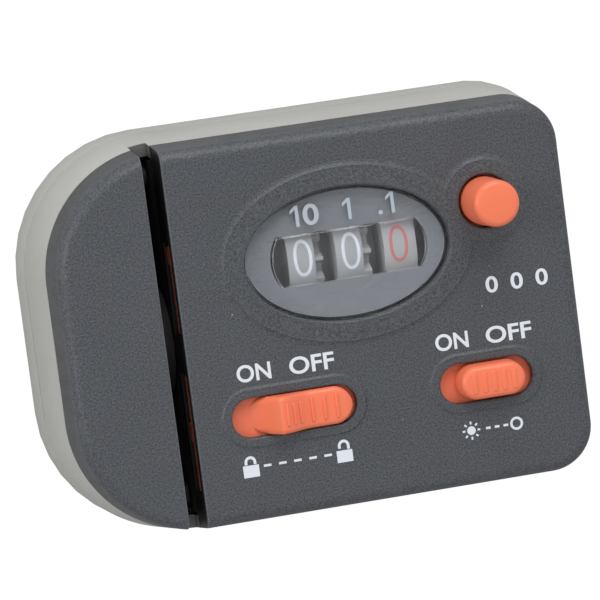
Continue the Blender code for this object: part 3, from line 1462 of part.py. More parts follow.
def reset_spring():
    low = TAB_TOP_Z + GAP + SPRING_WIRE
    high = COVER_INSIDE_Z - GAP - BUTTON_FLANGE_THICK - GAP - SPRING_WIRE
    count = SPRING_TURNS * SPRING_POINTS
    curve = bpy.data.curves.new("reset_spring", "CURVE")
    curve.dimensions = "3D"
    curve.bevel_depth = SPRING_WIRE
    curve.bevel_resolution = 1
    curve.use_fill_caps = True
    spline = curve.splines.new("POLY")
    spline.points.add(count)
    for i, point in enumerate(spline.points):
        angle = math.tau * i / SPRING_POINTS
        z = low + (high - low) * i / count
        point.co = (SPRING_RADIUS * math.cos(angle), SPRING_RADIUS * math.sin(angle), z, 1)
    spring = bpy.data.objects.new("reset_spring", curve)
    spring.location = (BUTTON_X, BUTTON_Y, 0)
    bpy.data.collections[PARTS].objects.link(spring)
    curve.materials.append(make_material("steel"))


def lever_point(distance, angle):
    """A point round the lever's pivot, in Y and Z."""
    return (PIVOT_Y + distance * math.cos(angle), LEVER_PIVOT_Z + distance * math.sin(angle))


def reset_lever():
    """The rocker under the button, with a finger for each drum's heart cam."""
    bore = SHAFT_RADIUS + RUN_GAP
    root = (bore + LEVER_HUB_RADIUS) / 2
    right = BUTTON_X + LEVER_ARM_WIDTH / 2
    planes = []
    for position in (-1, 0, 1):
        face = DRUMS_X + position * DRUM_PITCH - DRUM_WIDTH / 2
        planes.append(face - LUG_THICK - RUN_GAP - FINGER_THICK)
    start = planes[0]
    pivot = (start, PIVOT_Y, LEVER_PIVOT_Z)
    lever = ring("reset_lever", bore, LEVER_HUB_RADIUS, pivot, right - start, BORE_STEPS)
    arm_top = STEM_END_Z - GAP
    arm_end = BUTTON_Y - STEM_RADIUS
    arm = [
        lever_point(root, ARM_ROOT_ANGLES[0]),
        (arm_end, arm_top),
        (arm_end, arm_top - LEVER_ARM_THICK),
        lever_point(root, ARM_ROOT_ANGLES[1]),
    ]
    arm_x = BUTTON_X - LEVER_ARM_WIDTH / 2
    join(lever, flat_piece("lever_arm", [arm], LEVER_ARM_WIDTH - BITE, (arm_x, 0, 0), ALONG_X))
    top = LEVER_PIVOT_Z + FINGER_RISE
    tip_y = DIAL_Y + HEART_RADIUS + FINGER_CLEAR
    shoulder_y = PIVOT_Y - LEVER_HUB_RADIUS
    finger = [
        lever_point(root, FINGER_ROOT_ANGLES[0]),
        (shoulder_y, top),
        (tip_y, top),
        (tip_y, top - FINGER_HEIGHT),
        (shoulder_y - FINGER_HEIGHT / 2, top - FINGER_HEIGHT),
        lever_point(root, FINGER_ROOT_ANGLES[1]),
    ]
    for i, x in enumerate(planes):
        nudge = BITE / 4 if i == 0 else 0.0
        join(lever, flat_piece("finger_%d" % i, [finger], FINGER_THICK, (x + nudge, 0, 0), ALONG_X))
    finish(lever, "steel")


def main():
    clear_scene()
    make_collection(PARTS)
    make_collection(CUTTERS)
    front_cover()
    nose_cover()
    rear_shell()
    line_channel()
    back_cover()
    rod_pads()
    battery_door()
    screws()
    lens()
    dial_plate()
    drums()
    measuring_wheel()
    wheel_tyre()
    shafts()
    bushes()
    gear_train()
    counter_frame()
    line_guides()
    linelock_slider()
    lock_plate()
    lock_retainer()
    light_slider()
    light_circuit()
    battery()
    reset_button()
    reset_spring()
    reset_lever()


main()
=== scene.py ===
"""Looks of a fishing line counter: a black case on a grey back, a dial with three
number drums, an orange-red reset button and two orange-red sliders.

The counter lies on its back with the face up. X runs along the face from the
nose, Y the way the line runs, and Z up. Sizes are in metres.
"""
import math

import bmesh
import bpy
from mathutils import Matrix, Vector
from mathutils.geometry import delaunay_2d_cdt


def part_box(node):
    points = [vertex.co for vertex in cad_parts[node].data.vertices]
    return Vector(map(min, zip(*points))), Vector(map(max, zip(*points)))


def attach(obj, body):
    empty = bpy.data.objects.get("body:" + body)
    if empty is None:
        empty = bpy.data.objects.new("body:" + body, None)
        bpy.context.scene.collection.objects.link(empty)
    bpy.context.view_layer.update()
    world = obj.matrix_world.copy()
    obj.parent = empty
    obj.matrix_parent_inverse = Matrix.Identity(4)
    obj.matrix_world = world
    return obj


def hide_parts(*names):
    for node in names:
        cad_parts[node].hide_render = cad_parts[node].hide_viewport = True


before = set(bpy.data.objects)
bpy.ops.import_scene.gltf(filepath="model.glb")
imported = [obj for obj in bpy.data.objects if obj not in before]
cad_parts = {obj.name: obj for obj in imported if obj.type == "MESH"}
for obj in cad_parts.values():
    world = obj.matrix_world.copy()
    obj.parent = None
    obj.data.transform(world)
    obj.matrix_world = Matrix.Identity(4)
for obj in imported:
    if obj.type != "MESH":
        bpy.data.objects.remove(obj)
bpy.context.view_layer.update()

MM = 0.001

# Photograph's camera, in the frame of the counter
CAMERA_PLACE = (-133.963 * MM, 72.791 * MM, 618.394 * MM)
CAMERA_RIGHT = (0.964838, -0.128380, 0.229363)
CAMERA_UP = (0.150762, 0.985096, -0.082811)
CAMERA_BACK = (-0.215313, 0.114479, 0.969812)
CAMERA_LENS = 260.0
CAMERA_SENSOR = 36.0
CAMERA_CLIP = (0.01, 10.0)
LAMP_DISTANCE = 0.75

# Case, as the solids have it
DRAFT_SHARE = 0.114
EDGE_FILLET = 1.8 * MM
NOSE_RADIUS = 17.0 * MM
CORNER_RADIUS = 6.4 * MM
WALL = 1.8 * MM
SLOT_WALL = 1.5 * MM
SLOT_LIP = 0.28 * MM
NOSE_STEPS = 40
CORNER_STEPS = 18
FILLET_STEPS = 8
LIP_STEPS = 4
GUARD = 0.06 * MM
NEAR = 0.001 * MM
TRENCH_DEPTH = 2.3 * MM
PIECE_GAP = 0.3 * MM
JAW_WINDOWS = ((0.55 * MM, 13.65 * MM), (-21.95 * MM, -4.85 * MM))
JAW_WINDOW_HEIGHT = 4.0 * MM

# Places on the face
DIAL_PLACE = (4.35 * MM, 8.85 * MM)
DIAL_HALF = (14.93 * MM, 9.45 * MM)
BUTTON_PLACE = (24.95 * MM, 13.25 * MM)
BUTTON_HOLE = 3.8 * MM
LOCK_PLACE = (-6.15 * MM, -12.07 * MM)
LOCK_LENGTH = 18.05 * MM
LIGHT_PLACE = (22.0 * MM, -12.0 * MM)
LIGHT_LENGTH = 13.6 * MM
SLIDER_WIDTH = 5.6 * MM
SLIDER_TRAVELS = (("linelock_slider", 2.5 * MM), ("light_slider", 2.2 * MM))
LIP_RADIUS = 0.3 * MM
OPENING_STEPS = 144
SLOT_END_STEPS = 28

# Raised rings round the dial with the button, and round the two sliders: reach
# outwards from the middle of the ring, and rise, both in millimetres
DIAL_RING_GROW = (3.3 * MM, 3.1 * MM)
BUTTON_RING_RADIUS = 6.1 * MM
SLIDER_RING_GROW = 1.35 * MM
DIAL_RING = (
    (0.46, 0.0), (0.41, 0.03), (0.36, 0.045), (0.31, 0.04), (0.26, 0.05),
    (-0.16, 0.24), (-0.22, 0.29), (-0.28, 0.32), (-0.33, 0.32), (-0.40, 0.29),
)
SLIDER_RING = (
    (0.24, 0.0), (0.19, 0.03), (0.14, 0.05), (-0.06, 0.23),
    (-0.12, 0.28), (-0.18, 0.29), (-0.26, 0.26),
)
RING_MARGIN = (0.06, 0.08)
DIAL_SLOPE = 0.18 * MM

# Lens over the dial, and the raised window in it
LENS_GAP = 0.18 * MM
LENS_EDGE = 0.2 * MM
LENS_WALL = 0.3 * MM
LENS_TOP = 0.7 * MM
FLANGE_THICK = 1.0 * MM
PLATE_GAP = 0.05 * MM
WINDOW_LIP = 0.22 * MM
WINDOW_STEP = 0.34 * MM
WINDOW_CROWN = 0.5 * MM
WINDOW_GUARDS = (-0.12 * MM, -0.04 * MM)
WINDOW_PLACE = (4.65 * MM, 8.85 * MM)
WINDOW_HALF = (10.05 * MM, 3.55 * MM)
WINDOW_BULGE = 1.2 * MM

# Band of a drum, as rise over the drum in millimetres and share of the width, and digits
BAND_PROFILE = ((-0.3, 0), (-0.3, 1), (0.02, 1), (0.06, 0.97), (0.06, 0.03), (0.02, 0))
BAND_STEPS = 128
BAND_START = 1.5 * MM
TENTHS_BAND = 5.3 * MM
DIGIT_HALF = (1.35 * MM, 2.4 * MM)
DIGIT_ONE_HALF = 0.75 * MM
DIGIT_START = 2.2 * MM
DIGIT_OUT = 0.055 * MM
DIGIT_THICK = 0.025 * MM
DIGIT_WEIGHT = -0.014

# Knobs and the button
KNOB_FOOT = 1.3 * MM
LOCK_KNOB_RISE = 2.9
LOCK_KNOB_FALL = 1.95
LIGHT_KNOB_RISE = 2.4
RIB_SHARP_ANGLE = 60.0

# Printing and small bars
PRINT_THICK = 0.03 * MM
PRINT_SINK = 0.01 * MM
BAR_EASE_STEPS = 3

# Solids shown in their own shape
SOLID_EASE_STEPS = 2
EASED_ANGLE = 40.0
FLAT_ANGLE = math.radians(0.5)

# Levels from the solids
FACE_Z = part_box("front_cover")[1].z
SEAM_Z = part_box("front_cover")[0].z
SLOT_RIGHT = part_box("front_cover")[0].x
SLOT_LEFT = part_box("nose_cover")[1].x
FILLET_Z = FACE_Z - EDGE_FILLET
INSIDE_Z = FACE_Z - WALL
CASE_HALF_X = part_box("front_cover")[1].x - DRAFT_SHARE * (FILLET_Z - SEAM_Z)
CASE_HALF_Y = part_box("front_cover")[1].y - DRAFT_SHARE * (FILLET_Z - SEAM_Z)


def put(name, data):
    """Show a mesh, a curve, a lamp or a camera as an object at the origin."""
    piece = bpy.data.objects.new(name, data)
    bpy.context.scene.collection.objects.link(piece)
    return piece


def store(bm, piece):
    """Write a mesh that was worked on into a piece."""
    bm.to_mesh(piece.data)
    bm.free()
    return piece


def from_bmesh(name, bm):
    return store(bm, put(name, bpy.data.meshes.new(name)))


def to_bmesh(mesh, merge=0.0):
    """A mesh to work on, with the points that lie within a distance merged."""
    bm = bmesh.new()
    bm.from_mesh(mesh)
    if merge:
        bmesh.ops.remove_doubles(bm, verts=bm.verts, dist=merge)
    return bm


def settle(piece):
    """Make a plain mesh at the origin of an object with modifiers, or of a curve or text."""
    bpy.context.view_layer.update()
    graph = bpy.context.evaluated_depsgraph_get()
    mesh = bpy.data.meshes.new_from_object(piece.evaluated_get(graph))
    mesh.transform(piece.matrix_world)
    name = piece.name
    bpy.data.objects.remove(piece, do_unlink=True)
    return put(name, mesh)


def smooth(piece, angle=35.0):
    piece.data.shade_smooth()
    piece.data.set_sharp_from_angle(angle=math.radians(angle))
    return piece


def present(piece, finish, body, node=None):
    """Give a piece its finish and its body, and hide the solid that it stands for."""
    piece.data.materials.clear()
    piece.data.materials.append(FINISHES[finish])
    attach(piece, body)
    if node:
        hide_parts(node)


def carve(piece, cutter, operation="DIFFERENCE"):
    """Cut, join or keep by another piece, which is used up."""
    step = piece.modifiers.new("carve", "BOOLEAN")
    step.operation = operation
    step.solver = "EXACT"
    step.object = cutter
    piece = settle(piece)
    bpy.data.objects.remove(cutter, do_unlink=True)
    return piece


def ease_edges(piece, width, steps, least_angle=None):
    """Round the edges that are sharper than an angle, or all of them."""
    edge = piece.modifiers.new("edges", "BEVEL")
    edge.width = width
    edge.segments = steps
    if least_angle is not None:
        edge.limit_method = "ANGLE"
        edge.angle_limit = math.radians(least_angle)
    return settle(piece)


def block(name, low, high):
    bm = bmesh.new()
    bmesh.ops.create_cube(bm, size=1.0)
    low, high = Vector(low), Vector(high)
    bmesh.ops.scale(bm, vec=high - low, verts=bm.verts)
    bmesh.ops.translate(bm, vec=(high + low) / 2, verts=bm.verts)
    return from_bmesh(name, bm)


def loft(name, rings, closed=False):
    """A solid through like rings of points, lowest ring first; closed makes it a tube."""
    bm = bmesh.new()
    loops = [[bm.verts.new(point) for point in ring] for ring in rings]
    pairs = list(zip(loops, loops[1:]))
    if closed:
        pairs.append((loops[-1], loops[0]))
    count = len(loops[0])
    for lower, upper in pairs:
        for i in range(count):
            after = (i + 1) % count
            bm.faces.new((lower[i], lower[after], upper[after], upper[i]))
    if not closed:
        bm.faces.new(list(reversed(loops[0])))
        bm.faces.new(loops[-1])
    bmesh.ops.recalc_face_normals(bm, faces=bm.faces)
    return from_bmesh(name, bm)


def at_level(outline, z):
    return [(x, y, z) for x, y in outline]


def prism(name, outline, low_z, high_z):
    return loft(name, [at_level(outline, z) for z in (low_z, high_z)])


def middle_of(node):
    low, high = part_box(node)
    return (low + high) / 2


def oval_point(half, place, angle, grow):
    """A point on an ellipse at an angle, moved outwards along its normal."""
    x, y = math.cos(angle), math.sin(angle)
    normal = Vector((x / half[0], y / half[1])).normalized()
    return (place[0] + half[0] * x + grow * normal.x, place[1] + half[1] * y + grow * normal.y)


def ellipse(half_x, half_y, place, grow=0.0):
    angles = [math.tau * i / OPENING_STEPS for i in range(OPENING_STEPS)]
    return [oval_point((half_x, half_y), place, angle, grow) for angle in angles]


def around(place, radius, angle):
    return (place[0] + radius * math.cos(angle), place[1] + radius * math.sin(angle))


def arc(place, radius, start, turn, steps):
    """Points along an arc, with both its ends."""
    return [around(place, radius, start + turn * i / steps) for i in range(steps + 1)]


def circle(radius, place, steps):
    return arc(place, radius, 0.0, math.tau, steps)[:-1]


def stadium(length, width, place):
    """An outline with two round ends, along X."""
    radius = width / 2
    points = []
    for side, start in ((1, -math.pi / 2), (-1, math.pi / 2)):
        centre = (place[0] + side * (length / 2 - radius), place[1])
        points += arc(centre, radius, start, math.pi, SLOT_END_STEPS)
    return points


def case_outline(offset):
    """The plan of the case, grown by an offset on every side."""
    nose = (NOSE_RADIUS + offset, NOSE_STEPS)
    corner = (CORNER_RADIUS + offset, CORNER_STEPS)
    points = []
    corners = ((-1, -1, *nose), (1, -1, *corner), (1, 1, *corner), (-1, 1, *nose))
    for number, (side_x, side_y, radius, steps) in enumerate(corners):
        start = math.pi + number * math.pi / 2
        x = side_x * (CASE_HALF_X + offset - radius)
        y = side_y * (CASE_HALF_Y + offset - radius)
        points += arc((x, y), radius, start, math.pi / 2, steps)
    return points


def case_depth(x, y):
    """How far a place lies inside the case's outline, and the way out."""
    radius = NOSE_RADIUS if x < 0 else CORNER_RADIUS
    over_x = abs(x) - CASE_HALF_X + radius
    over_y = abs(y) - CASE_HALF_Y + radius
    if over_x > 0 and over_y > 0:
        reach = math.hypot(over_x, over_y)
        way = (math.copysign(over_x / reach, x), math.copysign(over_y / reach, y))
    elif over_x > over_y:
        reach = over_x
        way = (math.copysign(1.0, x), 0.0)
    else:
        reach = over_y
        way = (0.0, math.copysign(1.0, y))
    return radius - reach, way


def side_offset(z):
    return DRAFT_SHARE * (FILLET_Z - z)


def round_drop(depth, radius):
    """How far a rounded edge lies below its face at a depth inside it."""
    if depth >= radius:
        return 0.0
    return radius - math.sqrt(max(radius ** 2 - (radius - depth) ** 2, 0.0))


def round_depths(radius, steps):
    """Depths of the lines that draw a rounded edge, with a guard line on the flat."""
    depths = [radius * (1 - math.cos(math.pi / 2 * i / steps)) for i in range(steps + 1)]
    return depths + [radius + GUARD]


def eased_lines(outline, radius, steps, top=0.0):
    """The lines of a rounded edge, where outline gives a line for each depth inside it."""
    depths = round_depths(radius, steps)
    return [(outline(depth), True, top - round_drop(depth, radius)) for depth in depths]


def inside(points, polygon):
    """Whether each of many places lies inside a closed outline."""
    found = [False] * len(points)
    for (ax, ay), (bx, by) in zip(polygon, polygon[1:] + polygon[:1]):
        if ay == by:
            continue
        low, high = min(ay, by), max(ay, by)
        slope = (bx - ax) / (by - ay)
        for i, (x, y) in enumerate(points):
            if low <= y < high and x < ax + slope * (y - ay):
                found[i] = not found[i]
    return found


def cap(lines, belongs, height):
    """Triangles between plan lines: (points, closed, rise) each, raised by the height function."""
    places, edges, rises = [], [], []
    for line, closed, rise in lines:
        first = len(places)
        last = first + len(line) - 1
        places += [Vector((x / MM, y / MM)) for x, y in line]
        rises += [rise] * len(line)
        edges += [(i, i + 1) for i in range(first, last)]
        if closed:
            edges.append((last, first))
    verts, _, faces, origins, _, _ = delaunay_2d_cdt(places, edges, [], 0, 1e-5)
    centres = []
    for face in faces:
        middle = sum((verts[i] for i in face), Vector((0.0, 0.0))) / len(face) * MM
        centres.append((middle.x, middle.y))
    kept = belongs(centres)
    bm = bmesh.new()
    corners = {}
    for face, there in zip(faces, kept):
        if not there:
            continue
        for i in face:
            if i not in corners:
                x, y = verts[i] * MM
                rise = rises[origins[i][0]] if origins[i] else 0.0
                corners[i] = bm.verts.new((x, y, height(x, y, rise)))
        bm.faces.new([corners[i] for i in face])
    return bm


def stand_up(bm, foot):
    """Close a cap into a solid: walls from its edges down to their feet, and a floor."""
    rim = [edge for edge in bm.edges if len(edge.link_faces) == 1]
    feet = {}
    for edge in rim:
        for vert in edge.verts:
            if vert not in feet:
                feet[vert] = bm.verts.new(foot(vert.co))
    floor = []
    for edge in rim:
        a, b = edge.verts
        face = bm.faces.new((a, b, feet[b], feet[a]))
        floor += [e for e in face.edges if set(e.verts) == {feet[a], feet[b]}]
    bmesh.ops.triangle_fill(bm, use_beauty=True, edges=floor)
    bmesh.ops.recalc_face_normals(bm, faces=bm.faces)
    return bm


def dial_ring(offset):
    """The ring round the dial and the button as one line, moved outwards by an offset."""
    half = [size + grow for size, grow in zip(DIAL_HALF, DIAL_RING_GROW)]
    radius = BUTTON_RING_RADIUS + offset
    button = Vector(BUTTON_PLACE)

    def oval(angle):
        return Vector(oval_point(half, DIAL_PLACE, angle, offset))

    def meeting(low, high):
        """The angle where the oval crosses the button's ring, which is nearer at high."""
        for _ in range(40):
            middle = (low + high) / 2
            if (oval(middle) - button).length > radius:
                low = middle
            else:
                high = middle
        return low

    start = meeting(math.pi / 2, 0.35)
    end = meeting(-math.pi / 2, 0.0)
    turn = end + math.tau - start
    points = [oval(start + turn * i / OPENING_STEPS)[:] for i in range(OPENING_STEPS + 1)]
    begin, finish = (math.atan2(*(oval(angle) - button).yx) for angle in (end, start))
    return points + arc(button, radius, begin, finish - begin, OPENING_STEPS // 2)[1:-1]


def openings():
    """The dial's, the button's and the sliders' openings as functions of a growth."""
    return (
        lambda grow: ellipse(*DIAL_HALF, DIAL_PLACE, grow=grow),
        lambda grow: circle(BUTTON_HOLE + grow, BUTTON_PLACE, OPENING_STEPS // 2),
        lambda grow: stadium(LOCK_LENGTH + 2 * grow, SLIDER_WIDTH + 2 * grow, LOCK_PLACE),
        lambda grow: stadium(LIGHT_LENGTH + 2 * grow, SLIDER_WIDTH + 2 * grow, LIGHT_PLACE),
    )


def slider_ring(length, place, offset):
    grow = 2 * (SLIDER_RING_GROW + offset)
    return stadium(length + grow, SLIDER_WIDTH + grow, place)


def with_margins(ring):
    """A raised ring's steps, with a line on the flat on both sides of it."""
    outer, inner = RING_MARGIN
    return [(ring[0][0] + outer, 0.0), *ring, (ring[-1][0] - inner, ring[-1][1])]


def face_lines():
    """The lines of the rings and of the openings' lips on the main cover."""
    lines = [(dial_ring(reach * MM), True, rise * MM) for reach, rise in with_margins(DIAL_RING)]
    for reach, rise in with_margins(SLIDER_RING):
        for length, place in ((LOCK_LENGTH, LOCK_PLACE), (LIGHT_LENGTH, LIGHT_PLACE)):
            lines.append((slider_ring(length, place, reach * MM), True, rise * MM))
    dial_top = DIAL_RING[-1][1] * MM + DIAL_SLOPE
    slider_top = SLIDER_RING[-1][1] * MM
    for opening, top in zip(openings(), (dial_top, dial_top, slider_top, slider_top)):
        lines += eased_lines(opening, LIP_RADIUS, LIP_STEPS, top)
    return lines


def cover(name, side, lines, holes):
    """The front cover of the main case, on the slot's right, or of the nose, on its left."""
    half = 1.2 * CASE_HALF_Y
    edge = SLOT_RIGHT if side > 0 else SLOT_LEFT
    lines = list(lines)
    for depth in round_depths(EDGE_FILLET, FILLET_STEPS):
        lines.append((case_outline(-depth), True, 0.0))
    for depth in round_depths(SLOT_LIP, LIP_STEPS):
        lines.append(([(edge + side * depth, -half), (edge + side * depth, half)], False, 0.0))
    outline = case_outline(0.0)

    def belongs(centres):
        kept = inside(centres, outline)
        holed = [inside(centres, hole) for hole in holes]
        for i, (x, y) in enumerate(centres):
            if side * (x - edge) < 0 or any(hole[i] for hole in holed):
                kept[i] = False
        return kept

    def height(x, y, rise):
        depth, _ = case_depth(x, y)
        drop = round_drop(max(depth, 0.0), EDGE_FILLET)
        return FACE_Z + rise - drop - round_drop(max(side * (x - edge), 0.0), SLOT_LIP)

    def foot(place):
        depth, (way_x, way_y) = case_depth(place.x, place.y)
        grow = side_offset(SEAM_Z) if depth < 10 * NEAR else 0.0
        return (place.x + way_x * grow, place.y + way_y * grow, SEAM_Z)

    piece = from_bmesh(name, stand_up(cap(lines, belongs, height), foot))
    hollow_z = SEAM_Z - WALL
    floor = at_level(case_outline(side_offset(hollow_z) - WALL), hollow_z)
    hollow = loft(name + "_hollow", [floor, at_level(case_outline(-WALL), INSIDE_Z)])
    wall = edge + side * SLOT_WALL
    far = 2 * side * CASE_HALF_X
    low = (min(wall, far), -2 * CASE_HALF_Y, hollow_z - WALL)
    room = block(name + "_room", low, (max(wall, far), 2 * CASE_HALF_Y, FACE_Z))
    return carve(piece, carve(hollow, room, "INTERSECT"))


def covers():
    """Both front covers, with the jaw's windows and the sliders' pockets in the main one."""
    holes = [opening(0.0) for opening in openings()]
    front = cover("moulded_front_cover", 1, face_lines(), holes)
    wall = (SLOT_RIGHT - MM, SLOT_RIGHT + SLOT_WALL + MM)
    rooms = [
        ((wall[0], low, INSIDE_Z - JAW_WINDOW_HEIGHT), (wall[1], high, INSIDE_Z))
        for low, high in JAW_WINDOWS
    ]
    gap = PIECE_GAP
    for node, travel in SLIDER_TRAVELS:
        low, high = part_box(node)
        start = (low.x - travel - gap, low.y - gap, INSIDE_Z - MM)
        rooms.append((start, (high.x + gap, high.y + gap, FACE_Z - MM)))
    for low, high in rooms:
        front = carve(front, block("room", low, high))
    front.name = "moulded_front_cover"
    nose = cover("moulded_nose_cover", -1, (), ())
    for piece, node in ((front, "front_cover"), (nose, "nose_cover")):
        present(smooth(piece), "black_case", "case", node)


def dress(node, finish, body, ease=0.0):
    """A solid whose own shape is right, with its flat faces made whole and its edges eased."""
    bm = to_bmesh(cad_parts[node].data, NEAR)
    bmesh.ops.dissolve_limit(bm, angle_limit=FLAT_ANGLE, verts=bm.verts, edges=bm.edges)
    piece = from_bmesh("finished_" + node, bm)
    if ease:
        piece = ease_edges(piece, ease, SOLID_EASE_STEPS, EASED_ANGLE)
    present(smooth(piece), finish, body, node)


# Shader nodes

def feed(tree, socket, value):
    """Give an input its value, or link another node's result to it."""
    if isinstance(value, bpy.types.NodeSocket):
        tree.links.new(value, socket)
    else:
        socket.default_value = value


def fill(tree, node, **inputs):
    """Feed inputs by their names, in which a low line stands for a space."""
    for label, value in inputs.items():
        feed(tree, node.inputs[label.replace("_", " ")], value)
    return node


def add(tree, kind, **inputs):
    return fill(tree, tree.nodes.new("ShaderNode" + kind), **inputs)


def new_group(name, results, **numbers):
    """A node group fed by a vector and by numbers; its tree, its inputs and its results."""
    tree = bpy.data.node_groups.new(name, "ShaderNodeTree")
    tree.interface.new_socket("Vector", in_out="INPUT", socket_type="NodeSocketVector")
    for label, value in numbers.items():
        socket = tree.interface.new_socket(label, in_out="INPUT", socket_type="NodeSocketFloat")
        socket.default_value = value
    for label in results:
        tree.interface.new_socket(label, in_out="OUTPUT", socket_type="NodeSocketFloat")
    given = tree.nodes.new("NodeGroupInput").outputs
    return tree, given, tree.nodes.new("NodeGroupOutput")


def math_node(tree, operation, first, second, third=0.0):
    """A Math node fed by sockets or numbers; its result."""
    node = tree.nodes.new("ShaderNodeMath")
    node.operation = operation
    for socket, value in zip(node.inputs, (first, second, third)):
        feed(tree, socket, value)
    return node.outputs[0]


def grain_group():
    """Spark-eroded moulding grain: a fine height, its mottle and a slow change of shade."""
    results = ("Height", "Shade", "Mottle")
    tree, given, result = new_group("moulding_grain", results, Cell=0.25 * MM)
    scale = math_node(tree, "DIVIDE", 1.0, given["Cell"])
    fine = add(tree, "TexNoise", Vector=given["Vector"], Scale=scale, Detail=2.0, Roughness=0.6)
    broad = math_node(tree, "MULTIPLY", scale, 0.03)
    slow = add(tree, "TexNoise", Vector=given["Vector"], Scale=broad, Detail=3.0).outputs["Fac"]
    height = fine.outputs["Fac"]
    spread = add(tree, "MapRange", Value=height, From_Min=0.3, From_Max=0.7)
    fill(tree, result, Height=height, Shade=slow, Mottle=spread.outputs["Result"])
    return tree


def specks_group():
    """Scattered dust: a mask of small round specks in a share of the cells."""
    numbers = {"Spacing": 1.5 * MM, "Size": 0.12 * MM, "Share": 0.3}
    tree, given, result = new_group("dust_specks", ("Mask",), **numbers)
    scale = math_node(tree, "DIVIDE", 1.0, given["Spacing"])
    cells = add(tree, "TexVoronoi", Vector=given["Vector"], Scale=scale).outputs
    split = add(tree, "SeparateColor", Color=cells["Color"]).outputs
    reach = math_node(tree, "MULTIPLY", given["Size"], scale)
    reach = math_node(tree, "MULTIPLY", reach, split["Green"])
    near = math_node(tree, "LESS_THAN", cells["Distance"], reach)
    there = math_node(tree, "LESS_THAN", split["Red"], given["Share"])
    speck = math_node(tree, "MULTIPLY", near, there)
    fill(tree, result, Mask=math_node(tree, "MULTIPLY", speck, split["Blue"]))
    return tree


def smears_group():
    """Marks of handling: long soft streaks that change the gloss."""
    tree, given, result = new_group("handling_smears", ("Mask",), Size=6.0 * MM)
    turn = (0.0, 0.0, math.radians(28.0))
    streaks = add(tree, "Mapping", Vector=given["Vector"], Rotation=turn, Scale=(1.0, 3.2, 1.0))
    noise = add(tree, "TexNoise", Vector=streaks.outputs["Vector"], Detail=4.0, Distortion=0.8)
    fill(tree, noise, Scale=math_node(tree, "DIVIDE", 1.0, given["Size"]))
    spread = add(tree, "MapRange", Value=noise.outputs["Fac"], From_Min=0.42, From_Max=0.68)
    fill(tree, result, Mask=spread.outputs["Result"])
    return tree


def use_group(tree, group, vector, **numbers):
    """A node group's results at a place."""
    node = tree.nodes.new("ShaderNodeGroup")
    node.node_tree = group
    return fill(tree, node, Vector=vector, **numbers).outputs


def mix_colour(tree, factor, first, second, blend="MIX"):
    """A Mix node between two colours, each given as a value or as a socket; its result."""
    node = tree.nodes.new("ShaderNodeMix")
    node.data_type = "RGBA"
    node.blend_type = blend
    colours = [socket for socket in node.inputs if socket.type == "RGBA"]
    for socket, value in zip([node.inputs[0]] + colours, (factor, first, second)):
        feed(tree, socket, value)
    return next(socket for socket in node.outputs if socket.type == "RGBA")


def mix_shaders(tree, factor, first, second):
    node = add(tree, "MixShader", Fac=factor)
    for socket, shader in zip(node.inputs[1:], (first, second)):
        feed(tree, socket, shader.outputs[0])
    return node


def new_material(name):
    material = bpy.data.materials.new(name)
    material.use_nodes = True
    tree = material.node_tree
    return material, tree, tree.nodes["Principled BSDF"]


def object_place(tree):
    return add(tree, "TexCoord").outputs["Object"]


def rgba(colour, factor=1.0):
    return tuple(value * factor for value in colour) + (1.0,)


def moulding(name, colour, roughness, cell, relief, dust=0.0, uneven=0.08, mottle=0.0):
    """Moulded plastic or rubber: grain, slow changes of shade and gloss, and a little dust."""
    material, tree, shader = new_material(name)
    place = object_place(tree)
    grain = use_group(tree, GRAIN, place, Cell=cell * MM)
    shades = (rgba(colour, 1.0 - uneven), rgba(colour, 1.0 + uneven))
    tone = mix_colour(tree, grain["Shade"], *shades)
    if mottle:
        greys = (rgba((1.0 - mottle,) * 3), rgba((1.0 + mottle,) * 3))
        tone = mix_colour(tree, 1.0, tone, mix_colour(tree, grain["Mottle"], *greys), "MULTIPLY")
    if dust:
        specks = use_group(tree, SPECKS, place, Share=dust)
        pale = rgba([0.35 + 0.5 * value for value in colour])
        tone = mix_colour(tree, specks["Mask"], tone, pale)
    smears = use_group(tree, SMEARS, place)
    least = roughness - GLOSS_CHANGE / 2
    gloss = math_node(tree, "MULTIPLY_ADD", smears["Mask"], GLOSS_CHANGE, least)
    bump = add(tree, "Bump", Strength=1.0, Distance=relief * MM, Height=grain["Height"])
    fill(tree, shader, Base_Color=tone, Roughness=gloss, Normal=bump.outputs["Normal"])
    return material


def metal(name, colour, roughness):
    """Drawn or turned metal: fine streaks and a changing gloss."""
    material, tree, shader = new_material(name)
    place = object_place(tree)
    grain = use_group(tree, GRAIN, place, Cell=0.12 * MM)
    smears = use_group(tree, SMEARS, place, Size=2.5 * MM)
    tone = mix_colour(tree, smears["Mask"], rgba(colour, 0.86), rgba(colour))
    gloss = math_node(tree, "MULTIPLY_ADD", grain["Height"], 0.2, roughness - 0.1)
    fill(tree, shader, Base_Color=tone, Roughness=gloss, Metallic=1.0)
    return material


def clear_moulding(name):
    """Polished clear plastic that lets lamps through to what is behind it."""
    material, tree, shader = new_material(name)
    smears = use_group(tree, SMEARS, object_place(tree), Size=3.0 * MM)
    gloss = math_node(tree, "MULTIPLY", smears["Mask"], 0.05)
    fill(tree, shader, Base_Color=(0.97, 0.98, 0.99, 1.0), Roughness=gloss)
    fill(tree, shader, Transmission_Weight=1.0, IOR=1.49)
    shadow = add(tree, "LightPath").outputs["Is Shadow Ray"]
    surface = mix_shaders(tree, shadow, shader, add(tree, "BsdfTransparent"))
    fill(tree, tree.nodes["Material Output"], Surface=surface.outputs[0])
    return material


